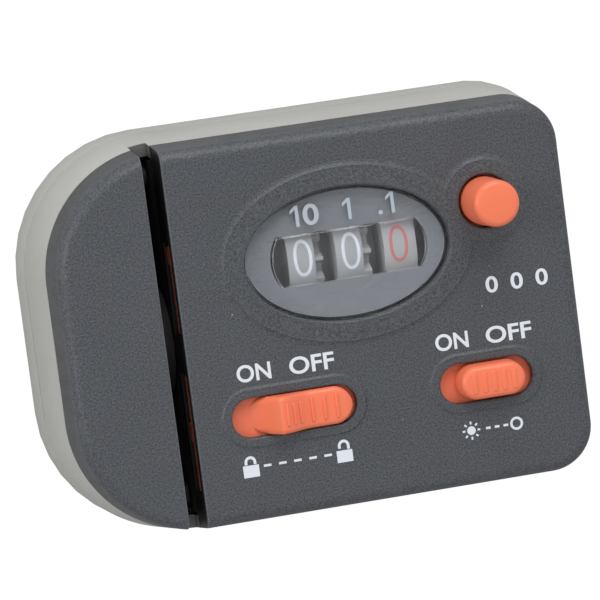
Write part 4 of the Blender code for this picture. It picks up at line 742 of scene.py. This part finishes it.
def shade_box(finish, along_x, half_y, along_z, grey, amount):
    """Paint shade or a highlight into a finish inside a box, as a grey mixed into its colour."""
    tree = FINISHES[finish].node_tree
    base = tree.nodes["Principled BSDF"].inputs["Base Color"]
    place = add(tree, "SeparateXYZ", Vector=object_place(tree)).outputs
    mask = amount
    for axis, (least, most) in zip("XYZ", (along_x, (-half_y, half_y), along_z)):
        for test, limit in (("GREATER_THAN", least), ("LESS_THAN", most)):
            mask = math_node(tree, "MULTIPLY", math_node(tree, test, place[axis], limit), mask)
    feed(tree, base, mix_colour(tree, mask, base.links[0].from_socket, rgba((grey,) * 3)))


# Plastics, rubber and inks: colour, roughness, cell and relief of the grain in
# millimetres, then share of dust, unevenness of the shade, and mottle
MOULDINGS = (
    ("black_case", (0.072, 0.078, 0.087), 0.5, 0.25, 0.022, 0.3, 0.08, 0.55),
    ("grey_case", (0.45, 0.447, 0.42), 0.55, 0.24, 0.010, 0.04, 0.08, 0.05),
    ("back_grey", (0.425, 0.425, 0.395), 0.55, 0.24, 0.010, 0.04, 0.08, 0.05),
    ("orange", (0.98, 0.22, 0.105), 0.38, 0.5, 0.004, 0.0, 0.05),
    ("dial_grey", (0.195, 0.209, 0.232), 0.3, 0.5, 0.003, 0.05),
    ("drum_grey", (0.42, 0.43, 0.44), 0.45, 0.3, 0.003),
    ("drum_white", (0.44, 0.45, 0.46), 0.45, 0.3, 0.003),
    ("gear_white", (0.78, 0.77, 0.73), 0.4, 0.3, 0.003),
    ("rubber", (0.026, 0.026, 0.027), 0.75, 0.18, 0.012, 0.2),
    ("board_green", (0.03, 0.2, 0.08), 0.4, 0.4, 0.004),
    ("switch_black", (0.03, 0.03, 0.032), 0.4, 0.25, 0.006),
    # Black plastic darkened to almost pure black: painted shade deep in the line slot
    ("channel_black", (0.004, 0.004, 0.004), 0.9, 0.25, 0.006, 0.0, 0.3),
    ("white_ink", (0.80, 0.84, 0.90), 0.5, 0.2, 0.004, 0.0, 0.04),
    ("dial_ink", (0.47, 0.53, 0.6), 0.5, 0.2, 0.004, 0.0, 0.04),
    ("red_ink", (0.66, 0.2, 0.19), 0.5, 0.2, 0.003, 0.0, 0.1),
)
METALS = (("steel", (0.58, 0.58, 0.6), 0.32), ("brass", (0.74, 0.55, 0.24), 0.3))
GLOSS_CHANGE = 0.08

# Boxes of painted light, in this order: painted shade on the case's sides, on the slot's walls
# and in the jaw's windows, painted highlights along the lips of the slot, and painted shade in
# the notch in the grey shell. Each has the ends along X, the half along Y, the ends along Z,
# the grey and its amount.
FAR = 1.0
IN_SLOT = 24.5 * MM
SKIN = 0.02 * MM
# Width of the painted highlights along the slot's lips
LIP_HIGHLIGHT = 0.17 * MM
IN_WALL = (SLOT_RIGHT + SKIN / 2, SLOT_RIGHT + SLOT_WALL + 0.1 * MM)
# Heights of the painted highlights along the slot's lips
LIP_HIGHLIGHT_Z = (FACE_Z - 1.6 * MM, FACE_Z)
BESIDE = (SLOT_LEFT - SKIN, SLOT_RIGHT + SKIN)
PAINTED_LIGHT = (
    # Painted shade: the case's sides below the rounded top edge are darkened
    ("black_case", (-FAR, FAR), FAR, (0.0, FACE_Z - 1.9 * MM), 0.034, 0.45),
    # Painted shade: the covers' walls inside the slot are made almost black below the face
    ("black_case", BESIDE, FAR, (0.0, FACE_Z - 0.4 * MM), 0.002, 0.93),
    # Painted shade: the slot's right wall and the sills of the jaw's windows are made almost black
    ("black_case", IN_WALL, IN_SLOT, (0.0, FACE_Z - 1.0 * MM), 0.002, 0.93),
    # Painted highlights: lighter lines along the nose's and the main cover's lips of the slot
    ("black_case", (SLOT_LEFT - LIP_HIGHLIGHT, SLOT_LEFT - SKIN), FAR, LIP_HIGHLIGHT_Z, 0.3, 0.3),
    ("black_case", (SLOT_RIGHT + SKIN, SLOT_RIGHT + LIP_HIGHLIGHT), FAR, LIP_HIGHLIGHT_Z, 0.3, 0.15),
    # Painted shade: the floor and walls of the notch in the grey shell are darkened
    ("grey_case", BESIDE, FAR, (SEAM_Z - TRENCH_DEPTH - SKIN, SEAM_Z), 0.03, 0.75),
)

GRAIN = grain_group()
SPECKS = specks_group()
SMEARS = smears_group()
FINISHES = {row[0]: moulding(*row) for row in MOULDINGS}
FINISHES.update({row[0]: metal(*row) for row in METALS})
FINISHES["clear"] = clear_moulding("clear")
# Paint the shade and the highlights of these boxes into the finishes
for shade in PAINTED_LIGHT:
    shade_box(*shade)


# The dial

def window_loop(inset):
    """The window's outline with its bulging ends, drawn in by an inset."""
    half_x, half_y = WINDOW_HALF
    radius = (half_y ** 2 + WINDOW_BULGE ** 2) / (2 * WINDOW_BULGE)
    centre = half_x + WINDOW_BULGE - radius
    reach = math.asin((half_y - inset) / (radius - inset))
    points = []
    for side in (1, -1):
        middle = (WINDOW_PLACE[0] + side * centre, WINDOW_PLACE[1])
        points += arc(middle, side * (radius - inset), -reach, 2 * reach, 12)
    return points


def lens():
    """The clear cup over the dial, with the raised window that bulges like a drum."""
    low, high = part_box("lens")
    centre = middle_of("lens")
    half = [size - LENS_GAP for size in DIAL_HALF]
    lines = [(window_loop(inset), True, 0.0) for inset in WINDOW_GUARDS]
    lines += eased_lines(lambda depth: ellipse(*half, centre, grow=-depth), LENS_EDGE, 5)
    lines += eased_lines(window_loop, WINDOW_LIP, LIP_STEPS, WINDOW_STEP)
    reach = WINDOW_HALF[0] - WINDOW_LIP
    ends = (WINDOW_PLACE[0] - reach, WINDOW_PLACE[0] + reach)
    for i in range(-4, 5):
        y = WINDOW_PLACE[1] + i * WINDOW_HALF[1] / 5
        lines.append(([(x, y) for x in ends], False, WINDOW_STEP))

    def height(x, y, rise):
        share = (y - WINDOW_PLACE[1]) / WINDOW_HALF[1]
        raised = rise > WINDOW_STEP - WINDOW_LIP - NEAR and abs(share) < 1
        return high.z + rise + (WINDOW_CROWN * (1 - share ** 2) if raised else 0.0)

    outline = ellipse(*half, centre)
    bm = cap(lines, lambda centres: inside(centres, outline), height)
    piece = from_bmesh("clear_lens", stand_up(bm, lambda place: (place.x, place.y, low.z)))
    flange = (high.x - low.x) / 2 - half[0]
    rim = ellipse(half[0] + flange, half[1] + flange, centre)
    piece = carve(piece, prism("lens_flange", rim, low.z, low.z + FLANGE_THICK), "UNION")
    hollow = ellipse(*half, centre, grow=-LENS_WALL)
    piece = carve(piece, prism("lens_hollow", hollow, low.z - MM, high.z - LENS_TOP))
    present(smooth(piece), "clear", "case", "lens")

    low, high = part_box("dial_plate")
    rim = ellipse(*half, centre, grow=-LENS_WALL - PLATE_GAP)
    plate = prism("moulded_dial_plate", rim, low.z, high.z)
    plate = carve(plate, prism("window_hole", window_loop(0.0), low.z - MM, high.z + MM))
    present(smooth(plate), "dial_grey", "case", "dial_plate")


# Printing

def lettering(name, words, low, high, thickness=PRINT_THICK, weight=0.02):
    """Flat text that fills a box in plan, with its lowest corner given by low."""
    curve = bpy.data.curves.new(name, "FONT")
    curve.body = words
    curve.extrude = 0.5
    curve.offset = weight
    piece = settle(put(name, curve))
    bm = to_bmesh(piece.data, 1e-5)
    bmesh.ops.recalc_face_normals(bm, faces=bm.faces)
    xs = [vert.co.x for vert in bm.verts]
    ys = [vert.co.y for vert in bm.verts]
    least_x, least_y = min(xs), min(ys)
    scale_x = (high[0] - low[0]) / (max(xs) - least_x)
    scale_y = (high[1] - low[1]) / (max(ys) - least_y)
    for vert in bm.verts:
        x = low[0] + (vert.co.x - least_x) * scale_x
        y = low[1] + (vert.co.y - least_y) * scale_y
        vert.co = (x, y, low[2] + (vert.co.z + 0.5) * thickness)
    return store(bm, piece)


def flat_mark(name, outlines, low_z):
    """A printed shape from outlines in millimetres; later ones inside the first are holes."""
    curve = bpy.data.curves.new(name, "CURVE")
    curve.dimensions = "2D"
    curve.fill_mode = "BOTH"
    curve.extrude = PRINT_THICK / 2
    for outline in outlines:
        spline = curve.splines.new("POLY")
        spline.points.add(len(outline) - 1)
        for point, (x, y) in zip(spline.points, outline):
            point.co = (x * MM, y * MM, 0.0, 1.0)
        spline.use_cyclic_u = True
    mark = put(name, curve)
    mark.location.z = low_z + PRINT_THICK / 2
    piece = settle(mark)
    bm = to_bmesh(piece.data, NEAR)
    bmesh.ops.recalc_face_normals(bm, faces=bm.faces)
    return store(bm, piece)


def figure_one(x, y=13.5, height=3.0):
    """The outline of a plain figure one: an upright stroke with a flag on its left."""
    stroke = 0.16 * height
    right = x + 0.4 * height
    top = y + height
    stem = right - stroke
    flag = top - 1.3 * stroke
    upright = [(stem, y), (right, y), (right, top), (stem, top)]
    return upright + [(x, flag), (x, flag - stroke), (stem, top - 1.1 * stroke)]


def padlock(x, y, is_open):
    """The outlines of a small padlock: its body, and its shackle that is lifted when open."""
    half, height = 1.15, 1.7
    body = [(x - half, y), (x + half, y), (x + half, y + height), (x - half, y + height)]
    top = y + 1.8
    foot = y + 2.0 if is_open else top
    outer, inner, rise = 0.85, 0.45, 0.35
    outside = arc((x, foot + rise), outer, 0.0, math.pi, 12)
    within = arc((x, foot + rise), inner, math.pi, -math.pi, 12)
    shackle = [(x + outer, top)] + outside + [(x - outer, foot), (x - inner, foot)]
    return [body, shackle + within + [(x + inner, top)]]


def sun(x, y, radius):
    """The outlines of a lamp mark: a disc with eight rays."""
    outlines = [circle(radius, (x, y), 32)]
    for i in range(8):
        angle = math.tau * i / 8
        along = Vector((math.cos(angle), math.sin(angle)))
        across = Vector((-along.y, along.x)) * 0.13
        corners = ((1.45, -1), (2.1, -1), (2.1, 1), (1.45, 1))
        ray = [along * radius * reach + across * side for reach, side in corners]
        outlines.append([(x + point.x, y + point.y) for point in ray])
    return outlines


def repeat_group():
    """Copies of a bar along a line, as one mesh."""
    group = bpy.data.node_groups.new("repeat_bars", "GeometryNodeTree")
    numbers = (("Size", "Vector"), ("Start", "Vector"), ("Step", "Vector"), ("Count", "Int"))
    for label, kind in numbers:
        group.interface.new_socket(label, in_out="INPUT", socket_type="NodeSocket" + kind)
    group.interface.new_socket("Geometry", in_out="OUTPUT", socket_type="NodeSocketGeometry")
    given = group.nodes.new("NodeGroupInput").outputs
    result = group.nodes.new("NodeGroupOutput")
    kinds = ("MeshLine", "MeshCube", "InstanceOnPoints", "RealizeInstances")
    line, bar, spread, real = (group.nodes.new("GeometryNode" + kind) for kind in kinds)
    for source, target in (
        (given["Size"], bar.inputs["Size"]),
        (given["Count"], line.inputs["Count"]),
        (given["Start"], line.inputs["Start Location"]),
        (given["Step"], line.inputs["Offset"]),
        (line.outputs["Mesh"], spread.inputs["Points"]),
        (bar.outputs["Mesh"], spread.inputs["Instance"]),
        (spread.outputs["Instances"], real.inputs["Geometry"]),
        (real.outputs["Geometry"], result.inputs["Geometry"]),
    ):
        group.links.new(source, target)
    return group


REPEAT = repeat_group()


def repeat(name, size, start, step=0.0, count=1, ease=0.0):
    """Equal bars in a row along X, made plain, with their edges eased."""
    holder = put(name, bpy.data.meshes.new(name))
    maker = holder.modifiers.new("repeat", "NODES")
    maker.node_group = REPEAT
    values = {"Size": size, "Start": start, "Step": (step, 0.0, 0.0), "Count": count}
    for item in REPEAT.interface.items_tree:
        if item.in_out == "INPUT":
            maker[item.identifier] = values[item.name]
    piece = settle(holder)
    return ease_edges(piece, ease, BAR_EASE_STEPS) if ease else piece


def printing():
    """The words, figures and marks on the face and over the drums; places in millimetres."""
    face = FACE_Z - PRINT_SINK
    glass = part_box("lens")[1].z - PRINT_SINK

    def show(piece, z):
        present(piece, "dial_ink" if z == glass else "white_ink", "case")

    noughts = [
        ("reset_nought_%d" % (i + 1), "0", (23.6 + 3.7 * i, 0.15), (25.4 + 3.7 * i, 2.5), face)
        for i in range(3)
    ]
    for name, words, low, high, z in (
        ("lock_on", "ON", (-13.72, -6.95), (-8.78, -4.5), face),
        ("lock_off", "OFF", (-6.1, -6.95), (0.4, -4.5), face),
        ("light_on", "ON", (15.25, -7.0), (20.1, -4.6), face),
        ("light_off", "OFF", (22.7, -7.0), (29.45, -4.6), face),
        *noughts,
        ("tens_mark_nought", "0", (-1.3, 13.5), (1.0, 16.5), glass),
    ):
        corner = (low[0] * MM, low[1] * MM, z)
        show(lettering(name, words, corner, (high[0] * MM, high[1] * MM)), z)
    lock_y, lamp_y = -20.35, -18.85
    ring = (25.6, lamp_y)
    for name, outlines, z in (
        ("tens_mark_one", [figure_one(-3.1)], glass),
        ("units_mark", [figure_one(4.5)], glass),
        ("tenths_mark", [figure_one(10.8)], glass),
        ("tenths_point", [circle(0.32, (9.9, 13.8), 24)], glass),
        ("mark_locked", padlock(-13.4, lock_y, False), face),
        ("mark_free", padlock(0.2, lock_y, True), face),
        ("mark_lamp_on", sun(18.9, lamp_y, 0.62), face),
        ("mark_lamp_off", [circle(0.95, ring, 32), circle(0.6, ring, 32)], face),
    ):
        show(flat_mark(name, outlines, z), z)
    for name, length, (x, y), step, count in (
        ("lock_dashes", 1.1, (-11.0, -19.0), 2.2, 5),
        ("lamp_dashes", 0.7, (21.4, lamp_y), 1.3, 3),
    ):
        size = (length * MM, 0.34 * MM, PRINT_THICK)
        start = (x * MM, y * MM, face + PRINT_THICK / 2)
        show(repeat(name, size, start, step * MM, count), face)


# The drums

def on_drum(piece, radius, centre_x, axis, turn):
    """Bend a flat piece, drawn about the origin, onto a drum."""
    bm = to_bmesh(piece.data)
    reach = max(abs(vert.co.y) for vert in bm.verts)
    cuts = int(2 * reach / (0.5 * MM))
    for i in range(1, cuts):
        cut = (0.0, -reach + 2 * reach * i / cuts, 0.0)
        geometry = list(bm.verts) + list(bm.edges) + list(bm.faces)
        bmesh.ops.bisect_plane(bm, geom=geometry, dist=1e-8, plane_co=cut, plane_no=(0, 1, 0))
    for vert in bm.verts:
        angle = math.pi / 2 - vert.co.y / radius + turn
        vert.co = (centre_x + vert.co.x, *around(axis, radius + vert.co.z, angle))
    return store(bm, piece)


def drum(node, body, finish, ink, width=3.9 * MM):
    """A number drum: its solid, a smooth band over its rim, and ten numerals on the band."""
    low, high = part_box(node)
    radius = (high.z - low.z) / 2
    axis = middle_of(node).yz
    dress(node, finish, body)
    left = low.x + BAND_START
    rings = []
    for out, share in BAND_PROFILE:
        x = left + width * share
        rings.append([(x, y, z) for y, z in circle(radius + out * MM, axis, BAND_STEPS)])
    present(smooth(loft(node + "_band", rings, closed=True)), finish, body)
    digits = []
    for digit in range(10):
        half = (DIGIT_ONE_HALF if digit == 1 else DIGIT_HALF[0], DIGIT_HALF[1])
        low = (-half[0], -half[1], 0.0)
        name = "%s_digit_%d" % (node, digit)
        mark = lettering(name, str(digit), low, half, DIGIT_THICK, DIGIT_WEIGHT)
        turn = math.tau * digit / 10
        digits.append(on_drum(mark, radius + DIGIT_OUT, left + DIGIT_START, axis, turn))
    numerals = digits[0]
    with bpy.context.temp_override(active_object=numerals, selected_editable_objects=digits):
        bpy.ops.object.join()
    numerals.name = node + "_numerals"
    present(numerals, ink, body)


def drums():
    drum("drum_tens", "tens", "drum_grey", "white_ink")
    drum("drum_units", "units", "drum_grey", "white_ink")
    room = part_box("drum_bush_right")[0].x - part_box("drum_tenths")[0].x - BAND_START - PIECE_GAP
    drum("drum_tenths", "tenths", "drum_white", "red_ink", min(TENTHS_BAND, room))


# The controls

def button():
    """The reset button: a pointed stem, a collar under the face and a soft-edged cap."""
    low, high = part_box("reset_button")
    place = middle_of("reset_button")
    radius, stem, edge, slim = 3.45 * MM, 1.5 * MM, 0.9 * MM, 0.15 * MM
    collar_z = INSIDE_Z - PIECE_GAP
    under_z = collar_z - 1.2 * MM
    collar = radius + 0.95 * MM
    profile = [(0.5 * MM, low.z), (stem, low.z + stem), (stem, under_z), (collar, under_z)]
    profile += [(collar, collar_z), (radius, collar_z), (radius, FACE_Z - 0.5 * MM)]
    turn = (radius - slim - edge, high.z - 0.12 * MM - edge)
    profile += arc(turn, edge, 0.0, math.pi / 2, 8)
    profile += [(1.8 * MM, high.z - 0.03 * MM), (0.9 * MM, high.z), (0.3 * MM, high.z)]
    rings = [at_level(circle(reach, place, 96), z) for reach, z in profile]
    present(smooth(loft("moulded_reset_button", rings)), "orange", "button", "reset_button")


def slider_base(node, rise):
    """The flat part of a slider, up to the foot of a knob that rises over the face."""
    low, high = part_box(node)
    foot_z = high.z - rise * MM - KNOB_FOOT
    return block("moulded_" + node, low, (high.x, high.y, foot_z)), foot_z


def knob_rise(along, crest, hollow):
    """The lock knob's height over the face in millimetres: a ramp, a fall and a low end."""
    if along < crest:
        share = along / crest
        return -1.4 + 4.3 * share * share * (2 - share)
    share = min((along - crest) / (hollow - crest), 1.0)
    return LOCK_KNOB_RISE - LOCK_KNOB_FALL * share * share * (3 - 2 * share)


def lock_knob():
    """The line lock's slider, with a knob of many cross sections and its ribs."""
    base, foot_z = slider_base("linelock_slider", LOCK_KNOB_RISE)
    width = 2.68 * MM
    start = LOCK_PLACE[0] - LOCK_LENGTH / 2 + 2.63 * MM
    length = LOCK_PLACE[0] + LOCK_LENGTH / 2 - 0.7 * MM - start
    crest, hollow = 0.27 * length, 0.6 * length
    ends = [width * (1 - math.cos(math.pi / 2 * i / 24)) for i in range(2, 24)]
    ends.insert(0, 0.012 * MM)
    stations = ends + [width + (length - 2 * width) * i / 60 for i in range(61)]
    stations += [length - along for along in reversed(ends)]
    rings = []
    for along in stations:
        near = min(along, length - along, width)
        half = math.sqrt(width ** 2 - (width - near) ** 2)
        top = knob_rise(along, crest, hollow)
        if along > hollow:
            top -= 0.55 * (1.0 - half / width) ** 2
        top_z = FACE_Z + top * MM
        soft = max(1.0 - along / crest, 0.0)
        tall = (0.5 + 0.45 * soft) * (top_z - foot_z)
        ease = min((0.75 + 1.2 * soft) * MM, (0.6 + 0.3 * soft) * half, max(tall, 0.01 * MM))
        x, y, bottom_z = start + along, LOCK_PLACE[1], foot_z - 0.2 * MM
        ring = [(x, y - half, bottom_z)]
        for side, begin in ((-1, math.pi), (1, math.pi / 2)):
            turn = (y + side * (half - ease), top_z - ease)
            ring += [(x, *point) for point in arc(turn, ease, begin, -math.pi / 2, 6)]
        rings.append(ring + [(x, y + half, bottom_z)])
    piece = smooth(carve(base, loft("lock_knob", rings), "UNION"))
    present(piece, "orange", "line_lock", "linelock_slider")
    for name, first, step, reach in (
        ("lock_ribs_close", -7.75, 1.05, 3.1),
        ("lock_ribs_wide", -3.8, 1.8, 3.4),
    ):
        size = (0.42 * MM, reach * MM, 0.5 * MM)
        for i in range(3):
            x = (first + i * step) * MM
            rise = knob_rise(x - start, crest, hollow) - 0.02
            place = (x, LOCK_PLACE[1], FACE_Z + rise * MM)
            rib = repeat("%s_%d" % (name, i), size, place, ease=0.12 * MM)
            present(smooth(rib, RIB_SHARP_ANGLE), "orange", "line_lock")


def light_knob():
    """The light slider, with a tapered knob, soft edges and a row of ribs."""
    base, _ = slider_base("light_slider", LIGHT_KNOB_RISE)
    length, width = 9.8 * MM, 5.1 * MM
    start = LIGHT_PLACE[0] - LIGHT_LENGTH / 2 + 2.45 * MM
    place = (start + length / 2, LIGHT_PLACE[1])
    profile = [(0.0, -1.5), (0.0, 0.0), (0.08, 0.9), (0.16, 1.5)]
    for angle in (0.3, 0.6, 0.9, 1.2, 1.4):
        profile.append((0.16 + 0.8 * (1 - math.cos(angle)), 1.5 + 0.88 * math.sin(angle)))
    profile.append((1.0, LIGHT_KNOB_RISE))
    rings = []
    for inset, rise in profile:
        less = 2 * inset * MM
        rings.append(at_level(stadium(length - less, width - less, place), FACE_Z + rise * MM))
    piece = smooth(carve(base, loft("light_knob", rings), "UNION"))
    present(piece, "orange", "light_switch", "light_slider")
    first = (place[0] - 2.9 * MM, place[1], FACE_Z + 2.33 * MM)
    ribs = repeat("light_ribs", (0.7 * MM, 2.9 * MM, 0.4 * MM), first, 1.45 * MM, 5, 0.1 * MM)
    present(smooth(ribs, RIB_SHARP_ANGLE), "orange", "light_switch")


def rear_shell():
    """The grey band round the case, with the line slot cut through its end walls."""
    low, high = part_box("rear_shell")
    eased = ((0.1, 0.0), (0.03, 0.03), (0.0, 0.1))
    levels = [(low.z + rise * MM, depth) for depth, rise in eased]
    levels += [(high.z - drop * MM, depth) for depth, drop in reversed(eased)]
    rings = [at_level(case_outline(side_offset(z) - depth * MM), z) for z, depth in levels]
    rings += [at_level(case_outline(side_offset(z) - WALL), z) for z in (high.z, low.z)]
    piece = loft("moulded_rear_shell", rings, closed=True)
    start = (SLOT_LEFT, -0.1, SEAM_Z - TRENCH_DEPTH)
    trench = block("shell_trench", start, (SLOT_RIGHT, 0.1, FACE_Z))
    present(smooth(carve(piece, trench)), "grey_case", "case", "rear_shell")


# Solids shown in their own shape: finish, body, eased edge in millimetres, and nodes
DRESSED = (
    # The line channel's finish is painted shade: black plastic made almost pure black
    ("channel_black", "case", 0.1, "line_channel"),
    ("back_grey", "case", 0.12, "back_cover"),
    ("rubber", "case", 0.2, "rod_pad_left rod_pad_right"),
    ("back_grey", "case", 0.15, "battery_door"),
    ("steel", "case", 0.08, "case_screw_1 case_screw_2 case_screw_3 case_screw_4 door_screw"),
    ("gear_white", "tens_transfer", 0.05, "transfer_pinion_tens"),
    ("gear_white", "units_transfer", 0.05, "transfer_pinion_units"),
    ("gear_white", "wheel", 0.08, "measuring_wheel"),
    ("rubber", "wheel", 0.1, "wheel_tyre"),
    ("steel", "wheel", 0.08, "wheel_shaft"),
    ("brass", "wheel", 0.0, "drive_pinion"),
    ("steel", "case", 0.08, "first_gear_shaft"),
    ("steel", "tenths", 0.08, "drum_shaft"),
    ("steel", "case", 0.08, "transfer_shaft lever_pin"),
    ("brass", "case", 0.05, "wheel_bush_left wheel_bush_right drum_bush_left drum_bush_right"),
    ("gear_white", "first_train_gear", 0.0, "first_gear"),
    ("gear_white", "second_train_gear", 0.0, "second_gear"),
    ("gear_white", "tenths", 0.0, "drum_gear"),
    ("steel", "case", 0.05, "counter_frame"),
    ("switch_black", "case", 0.15, "line_guide_upper line_guide_lower"),
    ("orange", "line_lock", 0.15, "lock_plate"),
    ("switch_black", "case", 0.08, "lock_retainer"),
    ("switch_black", "light_switch", 0.08, "switch_lever"),
    ("board_green", "case", 0.05, "circuit_board"),
    ("switch_black", "case", 0.1, "switch_body"),
    ("clear", "case", 0.0, "led"),
    ("steel", "case", 0.2, "battery"),
    ("brass", "case", 0.04, "contact_positive contact_negative"),
    ("steel", "case", 0.0, "reset_spring"),
    ("steel", "rocker", 0.04, "reset_lever"),
)


def studio():
    """The floor, the light and the camera."""
    bm = bmesh.new()
    bmesh.ops.create_grid(bm, x_segments=2, y_segments=2, size=2.0)
    bmesh.ops.translate(bm, vec=(0.0, 0.0, -0.05 * MM), verts=bm.verts)
    floor = from_bmesh("floor", bm)
    material, tree, shader = new_material("floor_paper")
    fill(tree, shader, Base_Color=rgba((0.55,) * 3), Roughness=0.9)
    path = add(tree, "LightPath").outputs
    seen = math_node(tree, "MAXIMUM", path["Is Camera Ray"], path["Is Transmission Ray"])
    glow = math_node(tree, "MULTIPLY", seen, 0.9)
    paper = mix_shaders(tree, glow, shader, add(tree, "Emission", Strength=1.1))
    back = add(tree, "NewGeometry").outputs["Backfacing"]
    surface = mix_shaders(tree, back, paper, add(tree, "BsdfTransparent"))
    fill(tree, tree.nodes["Material Output"], Surface=surface.outputs[0])
    floor.data.materials.append(material)

    scene = bpy.context.scene
    scene.world = bpy.data.worlds.new("studio")
    scene.world.use_nodes = True
    sky = scene.world.node_tree.nodes["Background"]
    sky.inputs["Color"].default_value = (0.6, 0.6, 0.61, 1.0)
    for name, direction, size, energy in (
        ("key", (0.12, 0.82, 0.6), 0.5, 2.4),
        ("side", (-0.85, 0.25, 0.5), 0.4, 1.4),
    ):
        lamp = bpy.data.lights.new(name, "AREA")
        lamp.shape = "DISK"
        lamp.size = size
        lamp.energy = energy
        holder = put(name, lamp)
        way = Vector(direction).normalized()
        holder.location = way * LAMP_DISTANCE
        holder.rotation_euler = way.to_track_quat("Z", "Y").to_euler()

    optics = bpy.data.cameras.new("photo_camera")
    optics.lens = CAMERA_LENS
    optics.sensor_width = CAMERA_SENSOR
    optics.clip_start, optics.clip_end = CAMERA_CLIP
    camera = put("photo_camera", optics)
    axes = Matrix((CAMERA_RIGHT, CAMERA_UP, CAMERA_BACK)).transposed()
    camera.matrix_world = Matrix.Translation(CAMERA_PLACE) @ axes.to_4x4()
    scene.camera = camera
    scene.view_settings.view_transform = "Standard"


covers()
for finish_name, body_name, eased, node_names in DRESSED:
    for node_name in node_names.split():
        dress(node_name, finish_name, body_name, eased * MM)
rear_shell()
lens()
printing()
drums()
button()
lock_knob()
light_knob()
studio()
